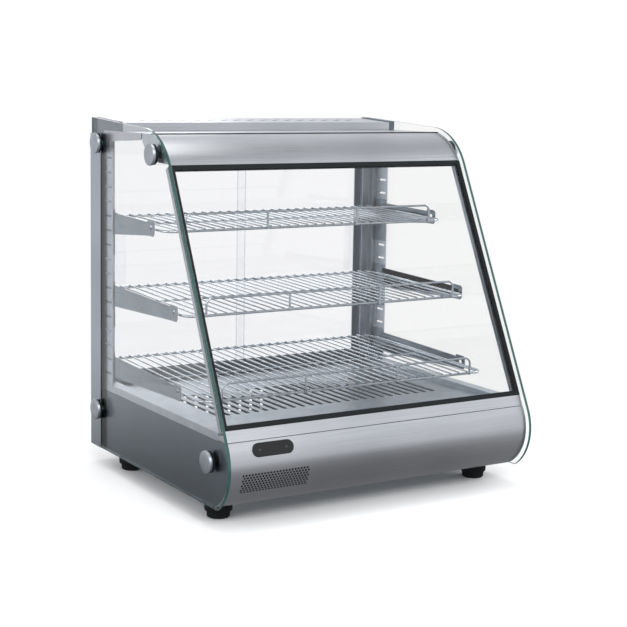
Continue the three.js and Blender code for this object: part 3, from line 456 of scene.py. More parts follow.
def makeRackTree():
    tree, given = newTree("wireRack", [
        ("Width", "Float", 0.6), ("Depth", "Float", 0.35), ("Ring Rod", "Float", 0.005),
        ("Corner", "Float", 0.025), ("Wire", "Float", 0.003), ("Pitch", "Float", 0.02),
        ("Wire Count", "Int", 30), ("Ring Drop", "Float", 0.004)])
    rod, depth, count = given.outputs["Ring Rod"], given.outputs["Depth"], given.outputs["Wire Count"]
    half = mathNode(tree, "DIVIDE", rod, 2.0)
    # ring: a rounded rectangle on the middle line of its rod
    wide = mathNode(tree, "SUBTRACT", given.outputs["Width"], rod)
    deep = mathNode(tree, "SUBTRACT", depth, rod)
    square = addNode(tree, "GeometryNodeCurvePrimitiveQuadrilateral", {"Width": wide, "Height": deep})
    bend = mathNode(tree, "SUBTRACT", given.outputs["Corner"], half)
    ring = addNode(tree, "GeometryNodeFilletCurve", {"Curve": square.outputs[0], "Radius": bend, "Count": 8},
                   mode="POLY")
    drop = vectorNode(tree, z=mathNode(tree, "MULTIPLY", given.outputs["Ring Drop"], -1.0))
    ringPlaced = addNode(tree, "GeometryNodeTransform", {"Geometry": sweepRod(tree, ring, half, 12, False),
                                                         "Translation": drop})
    # wires: one straight wire, copied across the ring
    span = mathNode(tree, "SUBTRACT", depth, mathNode(tree, "MULTIPLY", rod, 0.5))
    reach = mathNode(tree, "DIVIDE", span, 2.0)
    front = vectorNode(tree, y=mathNode(tree, "MULTIPLY", reach, -1.0))
    line = lineNode(tree, front, vectorNode(tree, y=reach))
    wire = sweepRod(tree, line, mathNode(tree, "DIVIDE", given.outputs["Wire"], 2.0), 8)
    first = mathNode(tree, "MULTIPLY", mathNode(tree, "SUBTRACT", count, 1.0),
                     mathNode(tree, "MULTIPLY", given.outputs["Pitch"], -0.5))
    places = addNode(tree, "GeometryNodeMeshLine", {
        "Count": count, "Start Location": vectorNode(tree, x=first),
        "Offset": vectorNode(tree, x=given.outputs["Pitch"])})
    wires = addNode(tree, "GeometryNodeInstanceOnPoints", {"Points": places.outputs[0], "Instance": wire})
    # a stiffening rod runs under the wires
    side = mathNode(tree, "DIVIDE", wide, 2.0)
    left = vectorNode(tree, x=mathNode(tree, "MULTIPLY", side, -1.0))
    stiffLine = lineNode(tree, left, vectorNode(tree, x=side))
    stiff = sweepRod(tree, stiffLine, mathNode(tree, "MULTIPLY", rod, 0.4), 12)
    stiffPlaced = addNode(tree, "GeometryNodeTransform", {"Geometry": stiff, "Translation": drop})
    joined = addNode(tree, "GeometryNodeJoinGeometry")
    for part in (ringPlaced, wires, stiffPlaced):
        tree.links.new(part.outputs[0], joined.inputs[0])
    return finishTree(tree, given, joined.outputs[0])


def makeRodTree():
    tree, given = newTree("bentRod", [("Rod", "Float", 0.004), ("Sides", "Int", 12)])
    path = addNode(tree, "GeometryNodeMeshToCurve", {"Mesh": given.outputs["Geometry"]})
    radius = mathNode(tree, "DIVIDE", given.outputs["Rod"], 2.0)
    return finishTree(tree, given, sweepRod(tree, path, radius, given.outputs["Sides"]))


def placeCopies(tree, points, part):
    tilt = addNode(tree, "GeometryNodeInputNamedAttribute", {"Name": "tilt"}, data_type="FLOAT_VECTOR")
    return addNode(tree, "GeometryNodeInstanceOnPoints", {
        "Points": points, "Instance": part.outputs["Geometry"], "Rotation": tilt.outputs[0]}).outputs[0]


def makePerforateTree():
    tree, given = newTree("perforate", [("Cutter", "Object", None), ("Places", "Object", None)])
    cutter = addNode(tree, "GeometryNodeObjectInfo", {"Object": given.outputs["Cutter"]})
    places = addNode(tree, "GeometryNodeObjectInfo", {"Object": given.outputs["Places"]})
    copies = placeCopies(tree, places.outputs["Geometry"], cutter)
    solid = addNode(tree, "GeometryNodeRealizeInstances", {"Geometry": copies})
    holes = addNode(tree, "GeometryNodeMeshBoolean", {
        "Mesh 1": given.outputs["Geometry"], "Mesh 2": solid.outputs[0]}, operation="DIFFERENCE")
    return finishTree(tree, given, holes.outputs["Mesh"])


def makeScatterTree():
    tree, given = newTree("setInPlace", [("Part", "Object", None)])
    part = addNode(tree, "GeometryNodeObjectInfo", {"Object": given.outputs["Part"]})
    return finishTree(tree, given, placeCopies(tree, given.outputs["Geometry"], part))


def evaluateTree(tree, mesh, key, values):
    # runs a tree on a mesh and returns a plain mesh in the finish called key
    holder = addObject("holder", mesh)
    modifier = holder.modifiers.new("tree", "NODES")
    modifier.node_group = tree
    values = {"Finish": finish[key], **values}
    for item in tree.interface.items_tree:
        if item.item_type == "SOCKET" and item.in_out == "INPUT" and item.name in values:
            modifier[item.identifier] = values[item.name]
    made = bpy.data.meshes.new_from_object(holder.evaluated_get(bpy.context.evaluated_depsgraph_get()))
    holder.modifiers.clear()
    bpy.data.objects.remove(holder)
    return made


def pointMesh(places):
    # places are pairs of a point and its turn
    mesh = bpy.data.meshes.new("places")
    mesh.from_pydata([place for place, turn in places], [], [])
    tilt = mesh.attributes.new("tilt", "FLOAT_VECTOR", "POINT")
    tilt.data.foreach_set("vector", [value for place, turn in places for value in turn])
    return mesh


def perforate(blank, cutterMesh, places, key):
    cutter, points = addObject("cutter", cutterMesh), addObject("places", pointMesh(places))
    made = evaluateTree(perforateTree, blank, key, {"Cutter": cutter, "Places": points})
    bpy.data.objects.remove(cutter)
    bpy.data.objects.remove(points)
    return smoothMesh(made)


def setInPlace(partMesh, places, key):
    part = addObject("part", partMesh)
    made = evaluateTree(scatterTree, pointMesh(places), key, {"Part": part})
    bpy.data.objects.remove(part)
    return smoothMesh(made)


def bentRod(points, rod, key, sides=12):
    mesh = bpy.data.meshes.new("path")
    mesh.from_pydata([tuple(p) for p in points], [(i, i + 1) for i in range(len(points) - 1)], [])
    return evaluateTree(rodTree, mesh, key, {"Rod": rod, "Sides": sides})


rackTree, rodTree = makeRackTree(), makeRodTree()
perforateTree, scatterTree = makePerforateTree(), makeScatterTree()
print("trees made")


def joinMeshes(meshes):
    work = bmesh.new()
    for mesh in meshes:
        work.from_mesh(mesh)
    return meshFrom(work)


def roundedSlot(length, width, depth, turn=0.0, steps=6):
    # a slot-shaped cutter, its long side along Y, standing through Z 0
    work = bmesh.new()
    reach, radius = length / 2 - width / 2, width / 2
    c, s = math.cos(turn), math.sin(turn)
    verts = []
    for sign, base in ((1, 0.0), (-1, math.pi)):
        for i in range(steps + 1):
            angle = base + math.pi * i / steps
            x, y = radius * math.cos(angle), sign * reach + radius * math.sin(angle)
            verts.append(work.verts.new((x * c - y * s, x * s + y * c, -depth)))
    made = bmesh.ops.extrude_face_region(work, geom=[work.faces.new(verts)])
    moveCopy(work, made, 2, depth)
    return meshFrom(work)


def roundHole(radius, depth, sides=12):
    work = bmesh.new()
    bmesh.ops.create_cone(work, cap_ends=True, segments=sides, radius1=radius, radius2=radius, depth=2 * depth)
    return meshFrom(work)


def boxCutter(size):
    work = bmesh.new()
    bmesh.ops.create_cube(work, size=1.0)
    work.transform(Matrix.Diagonal((*size, 1.0)))
    return meshFrom(work)


toolReach = 0.004  # half the length of a hole cutter

# Front panel: brushed sheet rolled round the nose, with the air intake; the display window lies on it
grille = {"left": -0.2925, "columns": 22, "pitch": 0.00605, "rows": 8, "rowPitch": 0.00485, "hole": 0.0040,
          "top": -0.150, "seam": 0.0006, "grilleShadeGap": 0.0012, "grilleShade": 0.001, "margin": 0.006}
noseOuter = caseSize["noseRadius"] - caseSize["inset"]


def onNose(x, angle, lift=0.0):
    radius = noseOuter + lift
    return (x, noseCentre.x - radius * math.cos(angle), noseCentre.y + radius * math.sin(angle))


def panelOutline(inset, top, steps=40):
    radius = caseSize["noseRadius"] - inset
    start = math.asin((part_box("base_front_panel")[0].z - noseCentre.y) / radius)
    return arcPoints(noseCentre, radius, start, slantAngle, steps) + [top]


def buildFrontPanel():
    low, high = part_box("base_front_panel")
    inset, sheet = caseSize["inset"], caseSize["sheet"]
    edge = slantPoint(high.z - grille["seam"], inset)
    outline = panelOutline(inset, edge) + panelOutline(inset + sheet, edge - slantOut * sheet)[::-1]
    rows = [grille["top"] - row * grille["rowPitch"] / noseOuter for row in range(grille["rows"])]
    places = []
    for row, angle in enumerate(rows):
        for column in range(grille["columns"]):
            x = grille["left"] + (column + 0.5 * (row % 2)) * grille["pitch"]
            places.append((onNose(x, angle), (math.pi / 2 - angle, 0, 0)))
    mesh = perforate(prismAlongX(outline, low.x, high.x), roundHole(grille["hole"] / 2, toolReach), places,
                     "brushedSteel")
    newPiece("frontPanel", mesh, ["brushedSteel"], "cabinet", ("base_front_panel",))
    # painted shade: a black sheet behind the holes stands in for the shade inside the base
    face = noseOuter - sheet - grille["grilleShadeGap"]
    start, end = rows[-1] - grille["margin"] / face, grille["top"] + grille["margin"] / face
    grilleShade = arcPoints(noseCentre, face, start, end, 12)
    grilleShade += arcPoints(noseCentre, face - grille["grilleShade"], end, start, 12)
    left = grille["left"] - grille["margin"]
    right = grille["left"] + grille["columns"] * grille["pitch"] + grille["margin"]
    newPiece("filterCloth", prismAlongX(grilleShade, left, right), ["paintedShadeBlack"], "cabinet")


buildFrontPanel()

# Display: a pill-shaped window with a small lamp on the left and a ring mark on the right
pill = {"length": 0.082, "height": 0.0245, "halfDepth": 0.0008, "edge": 0.0006, "markReach": 0.026,
        "markLift": 0.0007, "markDepth": 0.0003, "lamp": 0.0015, "ring": 0.0021, "ringHole": 0.0014}


def buildDisplay():
    centre = boxCentre("display_window")
    angle = math.asin((centre.z - noseCentre.y) / noseOuter)
    blank = roundedSlot(pill["length"], pill["height"], pill["halfDepth"], math.pi / 2, 16)
    tilt = Matrix.Rotation(math.pi / 2 - angle, 4, "X")
    blank.transform(Matrix.Translation(onNose(centre.x, angle)) @ tilt)
    piece = newPiece("displayWindow", blank, ["displayBlack"], "cabinet", ("display_window",))
    softenEdges(piece, pill["edge"], 3)
    out = Vector((0, -math.cos(angle), math.sin(angle)))
    reach, depth = pill["markReach"], pill["markDepth"]
    marks = []
    for offset, radius, hole in ((-reach, pill["lamp"], 0.0), (reach, pill["ring"], pill["ringHole"])):
        profile = [(hole, 0.0), (radius, 0.0), (radius, depth), (hole, depth)]
        if hole:
            profile.append(profile[0])
        marks.append(turnedMesh(profile, out, Vector(onNose(centre.x + offset, angle, pill["markLift"])), 24))
    newPiece("displayMarks", joinMeshes(marks), ["dimPrint"], "cabinet")


buildDisplay()
print("front panel made")


# Canopy: one rolled sheet with a crease above its lower lip, two end plates and a rear gasket
canopySize = {"creaseRise": 0.0068, "creaseDepth": 0.0006, "creaseWidth": 0.0007, "steps": 48,
              "sealGap": 0.0005, "rearReach": 0.022, "plate": 0.0016, "plateGap": 0.0002,
              "plateStart": 0.02, "studHole": 0.0043,
              "armReach": 0.037, "armTop": 0.001, "armBottom": 0.015, "plateToe": 0.003,
              "gasketStart": 0.045, "gasketEnd": 0.005, "gasketProud": 0.0006, "gasketSunk": 0.0002}


def buildCanopy():
    low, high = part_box("canopy")
    size, sheet = canopySize, caseSize["sheet"]
    outer = caseSize["bendRadius"] - caseSize["inset"]
    rear = bendCentre.x - size["rearReach"]
    start = math.asin((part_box("front_seal")[1].z + size["sealGap"] - bendCentre.y) / outer)
    end = math.pi - math.acos((rear - bendCentre.x) / outer)
    lip, crease = start + size["creaseRise"] / outer, size["creaseWidth"] / outer
    face = arcPoints(bendCentre, outer, start, lip, 6)
    face += arcPoints(bendCentre, outer - size["creaseDepth"], lip + crease, lip + 2 * crease, 1)
    face += arcPoints(bendCentre, outer, lip + 3 * crease, end, size["steps"])
    back = arcPoints(bendCentre, outer - sheet, start, end, size["steps"])
    skin = prismAlongX(face + back[::-1], low.x, high.x)
    newPiece("canopySheet", skin, ["brushedSteel"], "cabinet", ("canopy",))
    # end plates stand just inside the skin
    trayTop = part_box("roof_tray")[1].z
    inner = arcPoints(bendCentre, outer - sheet - size["plateGap"], start + size["plateStart"], end, 24)
    arm = rear + size["armReach"]
    outline = inner + [Vector((arm, trayTop - size["armTop"])), Vector((arm, trayTop - size["armBottom"])),
                       Vector((rear + size["plateToe"], inner[0].y + size["plateToe"]))]
    hole = circlePoints(boxCentre("glass_knob_front_top_left"), size["studHole"])
    for side, word in ((-1, "left"), (1, "right")):
        plate = prismAlongX(outline, side * (high.x - size["plate"]), side * high.x, [hole])
        newPiece("canopyEnd_" + word, plate, ["zincSteel"], "cabinet")
    # rubber strip between the canopy's rear edge and the roof
    first, last = end - size["gasketStart"], end + size["gasketEnd"]
    strip = arcPoints(bendCentre, outer + size["gasketProud"], first, last, 6)
    under = arcPoints(bendCentre, outer - size["gasketSunk"], first, last, 6)
    newPiece("canopyGasket", prismAlongX(strip + under[::-1], low.x, high.x), ["blackRubber"], "cabinet")


buildCanopy()
print("canopy made")


# Roof: tray, top box with slanted vents, end caps
roofSize = {"sheet": 0.0008, "drop": 0.002, "seat": 0.0003, "ventShadeTop": 0.0025, "ventShadeBottom": 0.008,
            "ventShadeInset": 0.004, "ventLength": 0.033, "ventWidth": 0.005, "ventPitch": 0.030, "vents": 17,
            "ventTurn": -55.3, "ventReach": 0.006}


def buildRoof():
    size = roofSize
    fromNode("roof_tray", "brushedSteel", 0.3)
    low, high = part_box("top_box")
    sheet, drop, length = size["sheet"], size["drop"], size["ventLength"]
    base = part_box("roof_tray")[1].z + size["seat"]
    outline = [(low.y, base), (low.y + sheet, base), roofPoint(low.y + sheet, drop + sheet),
               roofPoint(high.y - sheet, drop + sheet), (high.y - sheet, low.z), (high.y, low.z),
               roofPoint(high.y, drop), roofPoint(low.y, drop)]
    middle = (low.y + high.y) / 2
    centre = roofPoint(middle, drop)
    places = [(((i - (size["vents"] - 1) / 2) * size["ventPitch"], centre.x, centre.y), (pitchAngle, 0, 0))
              for i in range(size["vents"])]
    cutter = roundedSlot(length, size["ventWidth"], size["ventReach"], math.radians(size["ventTurn"]))
    mesh = perforate(prismAlongX(outline, low.x, high.x), cutter, places, "brushedSteel")
    newPiece("topBox", mesh, ["brushedSteel"], "cabinet", ("top_box",))
    # painted shade: a black sheet under the vents stands in for the shade inside the top box
    front, back = middle - length, middle + length
    bottom, top = drop + size["ventShadeBottom"], drop + size["ventShadeTop"]
    ventShade = [roofPoint(front, bottom), roofPoint(back, bottom), roofPoint(back, top), roofPoint(front, top)]
    newPiece("ventPad", prismAlongX(ventShade, low.x + size["ventShadeInset"], high.x - size["ventShadeInset"]), ["paintedShadeBlack"],
             "cabinet")
    for word in ("left", "right"):
        fromNode("top_cap_" + word, "capPlastic", 0.8)
    fromNode("rear_header", "zincSteel", 0.3)


buildRoof()
print("roof made")


# Glass: sheets with green or pale cut edges
paneSize = {"studHole": 0.006, "edge": 0.0005, "faceShare": 0.3}
knobPlaces = ("rear_top", "rear_bottom", "front_top", "front_bottom")


def addPane(node, name, faceKey, edgeKey):
    mesh = cleanMesh(node)
    piece = newPiece(name, mesh, [faceKey, edgeKey], bodyOfNode[node], (node,))
    least = max(face.area for face in mesh.polygons) * paneSize["faceShare"]
    for face in mesh.polygons:
        face.material_index = 0 if face.area > least else 1
    softenEdges(piece, paneSize["edge"])


def buildSideGlass(word):
    node = "side_glass_" + word
    low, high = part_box(node)
    outline = [Vector((high.y, low.z)), roofPoint(high.y, 0)]
    outline += arcPoints(bendCentre, caseSize["bendRadius"], slantAngle, roofAngle, 40)[::-1]
    start = math.asin((low.z - noseCentre.y) / caseSize["noseRadius"])
    outline += arcPoints(noseCentre, caseSize["noseRadius"], start, slantAngle, 48)[::-1]
    holes = [circlePoints(boxCentre("glass_knob_" + place + "_" + word), paneSize["studHole"])
             for place in knobPlaces]
    mesh = prismAlongX(outline, low.x, high.x, holes, 1)
    piece = newPiece("sideGlass_" + word, mesh, ["paneClear", "glassEdge"], "cabinet", (node,))
    softenEdges(piece, paneSize["edge"])


for word in ("left", "right"):
    buildSideGlass(word)
    addPane("door_" + word, "doorPane_" + word, "paneDoor", "doorEdge")
addPane("front_glass", "frontPane", "paneClear", "doorEdge")

# Seal of the front pane: a rubber frame, with aluminium channels behind its sides
sealSize = {"depth": 0.0081, "edge": 0.0008}


def sliceMesh(node, place, normal, keepFront):
    work = weldedWork(node)
    parts = work.verts[:] + work.edges[:] + work.faces[:]
    made = bmesh.ops.bisect_plane(work, geom=parts, plane_co=place, plane_no=normal,
                                  clear_inner=keepFront, clear_outer=not keepFront)
    rim = [part for part in made["geom_cut"] if isinstance(part, bmesh.types.BMEdge)]
    bmesh.ops.holes_fill(work, edges=rim, sides=0)
    bmesh.ops.recalc_face_normals(work, faces=work.faces[:])
    return meshFrom(work)


def buildSeal():
    start = slantPoint(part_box("front_seal")[0].z, caseSize["inset"] + sealSize["depth"])
    place, out = Vector((0, start.x, start.y)), Vector((0, slantOut.x, slantOut.y))
    rubber = newPiece("frontSeal", sliceMesh("front_seal", place, out, True), ["blackRubber"], "cabinet",
                      ("front_seal",))
    softenEdges(rubber, sealSize["edge"])
    newPiece("paneChannels", sliceMesh("front_seal", place, out, False), ["postAluminium"], "cabinet")


buildSeal()
print("glass made")


# Glass knobs: a turned cap over a rubber washer, on a stud; an edge is pairs of inset and height
knobSize = {"cap": 0.020, "washer": 0.0188, "stud": 0.004, "seat": 0.0003, "washerDepth": 0.006,
            "washerEdge": ((0.001, 0), (0, 0.001)), "capEdge": ((0.0008, 0), (0, 0.0008)),
            "crown": ((0, 0.0016), (0.0005, 0.0005), (0.0017, 0)), "dishRim": 0.009, "dish": 0.00036}


def buildKnob(place, word, side):
    node = "glass_knob_" + place + "_" + word
    low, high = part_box(node)
    centre = (low + high) / 2
    inner, outer = (low.x, high.x) if side > 0 else (-high.x, -low.x)
    size, glassFace = knobSize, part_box("side_glass_right")[1].x
    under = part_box("rear_post_right")[1].x if place.startswith("rear") else glassFace
    seat, join = under + size["seat"], glassFace + size["washerDepth"]
    profile = [(0, inner), (size["stud"], inner), (size["stud"], seat)]
    profile += [(size["washer"] - inset, seat + rise) for inset, rise in size["washerEdge"]]
    profile.append((size["washer"], join))
    profile += [(size["cap"] - inset, join + rise) for inset, rise in size["capEdge"]]
    profile += [(size["cap"] - inset, outer - fall) for inset, fall in size["crown"]]
    profile += [(size["dishRim"], outer), (0, outer - size["dish"])]
    mesh = turnedMesh(profile, (side, 0, 0), (0, centre.y, centre.z), 48, [0, 0] + [1] * 4 + [0] * 6)
    newPiece("glassKnob_" + place + "_" + word, mesh, ["knobSteel", "blackRubber"], "cabinet",
             (node,))


for word, side in (("left", -1), ("right", 1)):
    for place in knobPlaces:
        buildKnob(place, word, side)


# Feet: turned rubber, narrower below; sole and shoulder are pairs of inset and distance from their end
footSize = {"hollow": 0.0004, "shoulder": ((0, 0.004), (0.0012, 0.001), (0.003, 0)),
            "sole": ((0.008, 0.0004), (0.0075, 0), (0.006, 0), (0.0045, 0.0015), (0.004, 0.010),
                     (0.003, 0.0112), (0.001, 0.012), (0, 0.0135))}


def buildFoot(node):
    low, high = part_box(node)
    centre = (low + high) / 2
    radius = (high.x - low.x) / 2
    profile = [(0, footSize["hollow"])] + [(radius - inset, rise) for inset, rise in footSize["sole"]]
    profile += [(radius - inset, high.z - fall) for inset, fall in footSize["shoulder"]] + [(0, high.z)]
    mesh = turnedMesh(profile, (0, 0, 1), (centre.x, centre.y, 0), 40)
    newPiece(node + "_turned", mesh, ["blackRubber"], "cabinet", (node,))


for end in ("front", "rear"):
    for word in ("left", "right"):
        buildFoot("foot_" + end + "_" + word)
print("fittings made")


# Shelves: wire racks that slope to the front, each with a low fence
shelfSize = {"slope": 1.8, "trim": 0.0002, "ringRod": 0.005, "corner": 0.025, "wire": 0.003, "pitch": 0.020,
             "count": 30, "ringDrop": 0.0036, "fenceRod": 0.004, "fenceHeight": 0.030, "fenceCorner": 0.012,
             "fencePost": 0.100, "fenceGap": 0.0003, "footGap": 0.0004, "bendSteps": 8}


def buildFence(level, body, place, depth):
    node, size = "shelf_fence_" + level, shelfSize
    rod, corner, steps = size["fenceRod"], size["fenceCorner"], size["bendSteps"]
    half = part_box(node)[1].x - rod / 2
    top, foot = size["fenceHeight"] - rod / 2, -size["ringRod"] - size["footGap"]
    y = -depth - rod / 2 - size["fenceGap"]
    bend = [(half - corner + corner * math.cos(math.pi / 2 * i / steps),
             top - corner + corner * math.sin(math.pi / 2 * i / steps)) for i in range(steps + 1)]
    rail = [(-half, y, foot)] + [(-x, y, z) for x, z in bend] + [(x, y, z) for x, z in bend[::-1]]
    rail.append((half, y, foot))
    meshes = [bentRod(rail, rod, "chromeWire")]
    for x in (-size["fencePost"], size["fencePost"]):
        meshes.append(bentRod([(x, y, foot), (x, y, top)], rod, "chromeWire"))
    fence = joinMeshes(meshes)
    fence.transform(place)
    newPiece("shelfFence_" + level, fence, ["chromeWire"], body, (node,))


def buildShelf(level):
    # the rack's rear edge is the turning line of its slope
    node, size, slope = "shelf_grid_" + level, shelfSize, math.radians(shelfSize["slope"])
    low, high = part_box(node)
    rear = Vector((0, high.y, high.z - size["wire"] / 2 * math.cos(slope)))
    place = Matrix.Translation(rear) @ Matrix.Rotation(slope, 4, "X")
    depth = (high.y - low.y) / math.cos(slope) - size["trim"]
    mesh = evaluateTree(rackTree, bpy.data.meshes.new("empty"), "chromeWire", {
        "Width": high.x - low.x, "Depth": depth, "Ring Rod": size["ringRod"], "Corner": size["corner"],
        "Wire": size["wire"], "Pitch": size["pitch"], "Wire Count": size["count"],
        "Ring Drop": size["ringDrop"]})
    mesh.transform(place @ Matrix.Translation((0, -depth / 2, 0)))
    newPiece("shelfRack_" + level, smoothMesh(mesh), ["chromeWire"], bodyOfNode[node], (node,))
    buildFence(level, bodyOfNode[node], place, depth)


for level in ("lower", "middle", "upper"):
    buildShelf(level)
    for word in ("left", "right"):
        fromNode("bracket_" + level + "_" + word, "bracketSteel", 0.3)
print("shelves made")


# Floor deck: one sheet folded down between two rails, with a row of long slots
deckSize = {"drop": 0.010, "wall": 0.021, "sheet": 0.0015, "slotWidth": 0.009, "slotLength": 0.186,
            "pitch": 0.020, "margin": 0.055}


def buildDeck():
    low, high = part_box("floor_deck")
    sheet, outer, inner = deckSize["sheet"], high.x, high.x - deckSize["wall"]
    deck, skirt, top = high.z - deckSize["drop"], low.z, high.z
    half = [(outer, skirt), (outer - sheet, skirt), (outer - sheet, top - sheet), (inner, top - sheet),
            (inner, deck - sheet)]
    over = [(outer, top), (inner - sheet, top), (inner - sheet, deck)]
    loop = half + [(-x, z) for x, z in half[::-1]] + [(-x, z) for x, z in over] + over[::-1]
    blank = prismAlongX(loop, low.y, high.y)
    blank.transform(Matrix.Rotation(math.pi / 2, 4, "Z"))
    count = int(2 * (inner - deckSize["margin"]) / deckSize["pitch"]) + 1
    places = [(((i - (count - 1) / 2) * deckSize["pitch"], (low.y + high.y) / 2, deck - sheet / 2), (0, 0, 0))
              for i in range(count)]
    cutter = roundedSlot(deckSize["slotLength"], deckSize["slotWidth"], toolReach)
    mesh = perforate(blank, cutter, places, "zincSteel")
    newPiece("floorDeck", mesh, ["zincSteel"], "cabinet", ("floor_deck",))


buildDeck()


# Shelf standards: flat strips with rows of slots for the brackets' hooks
standardSize = {"slotWidth": 0.004, "slotLength": 0.030, "pitch": 0.028, "first": 0.0217, "topGap": 0.008}


def buildStandard(word):
    node = "shelf_standard_" + word
    low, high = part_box(node)
    centre = (low + high) / 2
    outline = [(low.y, low.z), (high.y, low.z), (high.y, high.z), (low.y, high.z)]
    first = low.z + standardSize["first"]
    count = math.ceil((high.z - standardSize["topGap"] - first) / standardSize["pitch"])
    places = [((centre.x, centre.y, first + i * standardSize["pitch"]), (0, math.pi / 2, 0))
              for i in range(count)]
    cutter = roundedSlot(standardSize["slotLength"], standardSize["slotWidth"], toolReach)
    mesh = perforate(prismAlongX(outline, low.x, high.x), cutter, places, "zincSteel")
    newPiece("shelfStandard_" + word, mesh, ["zincSteel"], "cabinet", (node,))


for word in ("left", "right"):
    buildStandard(word)


# Rear panel: a wall under a sill, cut for the controls, the mains gland and a row of louvres
rearSize = {"setback": 0.022, "sheet": 0.0015, "controlRim": 0.005, "glandHole": 0.0073, "louvres": 8,
            "firstLouvre": -0.130, "louvrePitch": 0.026, "louvreWidth": 0.007, "louvreLength": 0.060,
            "louvreHeight": 0.100}
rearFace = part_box("base_rear_panel")[1].y - rearSize["setback"]


def buildRearPanel():
    low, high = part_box("base_rear_panel")
    sheet, rim = rearSize["sheet"], rearSize["controlRim"]
    sill = high.z - sheet
    outline = [(rearFace - sheet, low.z), (rearFace, low.z), (rearFace, sill), (high.y, sill),
               (high.y, high.z), (low.y, high.z), (low.y, sill), (rearFace - sheet, sill)]
    mesh = prismAlongX(outline, low.x, high.x)
    upright = (math.pi / 2, 0, 0)
    first, pitch, height = rearSize["firstLouvre"], rearSize["louvrePitch"], rearSize["louvreHeight"]
    louvres = [((first + i * pitch, rearFace, height), upright) for i in range(rearSize["louvres"])]
    slot = roundedSlot(rearSize["louvreLength"], rearSize["louvreWidth"], toolReach)
    mesh = perforate(mesh, slot, louvres, "caseSteel")
    controlLow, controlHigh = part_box("control_plate")
    opening = boxCutter((controlHigh.x - controlLow.x - 2 * rim, 2 * toolReach,
                         controlHigh.z - controlLow.z - 2 * rim))
    control, gland = boxCentre("control_plate"), boxCentre("cable_gland")
    mesh = perforate(mesh, opening, [((control.x, rearFace, control.z), (0, 0, 0))], "caseSteel")
    hole = roundHole(rearSize["glandHole"], toolReach, 32)
    mesh = perforate(mesh, hole, [((gland.x, rearFace, gland.z), upright)], "caseSteel")
    newPiece("rearPanel", mesh, ["caseSteel"], "cabinet", ("base_rear_panel",))


buildRearPanel()


# Base, rear frame and the rest of the sheet metal
fromNode("control_plate", "blackPlastic", 0.3, True)
for word in ("left", "right"):
    fromNode("base_side_" + word, "caseSteel", 0.3)
    fromNode("rear_post_" + word, "postAluminium", 0.5)
    fromNode("door_handle_" + word, "paneDoor", 0.6)
for node, key, slotName, edge in (
    ("base_bottom_plate", "zincSteel", "zinc_steel", 0.3),
    ("base_front_ledge", "brushedSteel", "brushed_steel", 0.4),
    ("rocker_power", "blackPlastic", "black_plastic", 0.4),
    ("rocker_light", "blackPlastic", "black_plastic", 0.4),
    ("thermostat_knob", "blackPlastic", "black_plastic", 0.5),
    ("door_track_bottom", "blackPlastic", "black_plastic", 0.3),
    ("door_track_top", "blackPlastic", "black_plastic", 0.3),
    ("lamp_reflector", "zincSteel", "zinc_steel", 0.2),
    ("cable_gland", "blackRubber", "black_rubber", 0.4),
):
    fromNode(node, key, edge)
print("sheet metal made")


# Heater: a hairpin of sheathed rod
bendSteps, rodSides = 24, 16


def buildHeater():
    low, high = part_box("heating_element")
    centre, radius = (low + high) / 2, (high.z - low.z) / 2
    half = (high.y - low.y) / 2 - radius
    bend = high.x - radius - half
    turns = [math.pi * i / bendSteps for i in range(bendSteps + 1)]
    points = [(low.x, centre.y - half, centre.z)]
    points += [(bend + half * math.sin(a), centre.y - half * math.cos(a), centre.z) for a in turns]
    points.append((low.x, centre.y + half, centre.z))
    mesh = smoothMesh(bentRod(points, radius * 2, "elementSheath", rodSides))
    newPiece("heaterRod", mesh, ["elementSheath"], "cabinet", ("heating_element",))


# Lamp: a frosted tube with a metal cap at each end, given as pairs of inset and distance from the end
lampCap = ((0.0015, 0), (0.0005, 0.0006), (0.0005, 0.014), (0, 0.0145))


def buildLamp():
    low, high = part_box("lamp_tube")
    centre, radius = (low + high) / 2, (high.z - low.z) / 2
    profile = [(0, low.x)] + [(radius - inset, low.x + reach) for inset, reach in lampCap]
    profile += [(radius - inset, high.x - reach) for inset, reach in lampCap[::-1]] + [(0, high.x)]
    mesh = turnedMesh(profile, (1, 0, 0), (0, centre.y, centre.z), 32, [1, 1, 1, 0, 0, 0, 1, 1, 1])
    newPiece("lampTube", mesh, ["lampTube", "knobSteel"], "cabinet", ("lamp_tube",))


buildHeater()
buildLamp()


# Screws: pan heads on the rear panel and the control plate; the dome is shares of radius and height
screwSize = {"head": 0.0034, "rise": 0.0013,
             "dome": ((0, 1), (0.5, 0.97), (0.8, 0.7), (1, 0.15), (1, 0), (0, 0)),
             "lowRow": (-0.275, -0.145, 0.0, 0.145, 0.275), "lowHeight": 0.012,
             "highRow": (-0.275, 0.285), "highHeight": 0.146, "inset": 0.008}


def buildScrews():
    size, controls = screwSize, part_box("control_plate")
    inset = size["inset"]
    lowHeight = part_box("base_rear_panel")[0].z + size["lowHeight"]
    spots = [(x, rearFace, lowHeight) for x in size["lowRow"]]
    spots += [(x, rearFace, size["highHeight"]) for x in size["highRow"]]
    spots += [(x, controls[1].y, z) for x in (controls[0].x + inset, controls[1].x - inset)
              for z in (controls[0].z + inset, controls[1].z - inset)]
    profile = [(across * size["head"], up * size["rise"]) for across, up in size["dome"]]
    head = turnedMesh(profile, (0, 0, 1), (0, 0, 0), 16)
    mesh = setInPlace(head, [(spot, (-math.pi / 2, 0, 0)) for spot in spots], "knobSteel")
    newPiece("panelScrews", mesh, ["knobSteel"], "cabinet")


buildScrews()
print("screws set")


# Room: pale floor, white surround for the camera, soft lights that the metal mirrors
floorSize = {"radius": 30, "sides": 96, "drop": 0.0005, "fadeStart": 0.32, "fadeEnd": 0.95,
             "mirroredShadeStart": 0.25, "mirroredShadeEnd": 1.3}


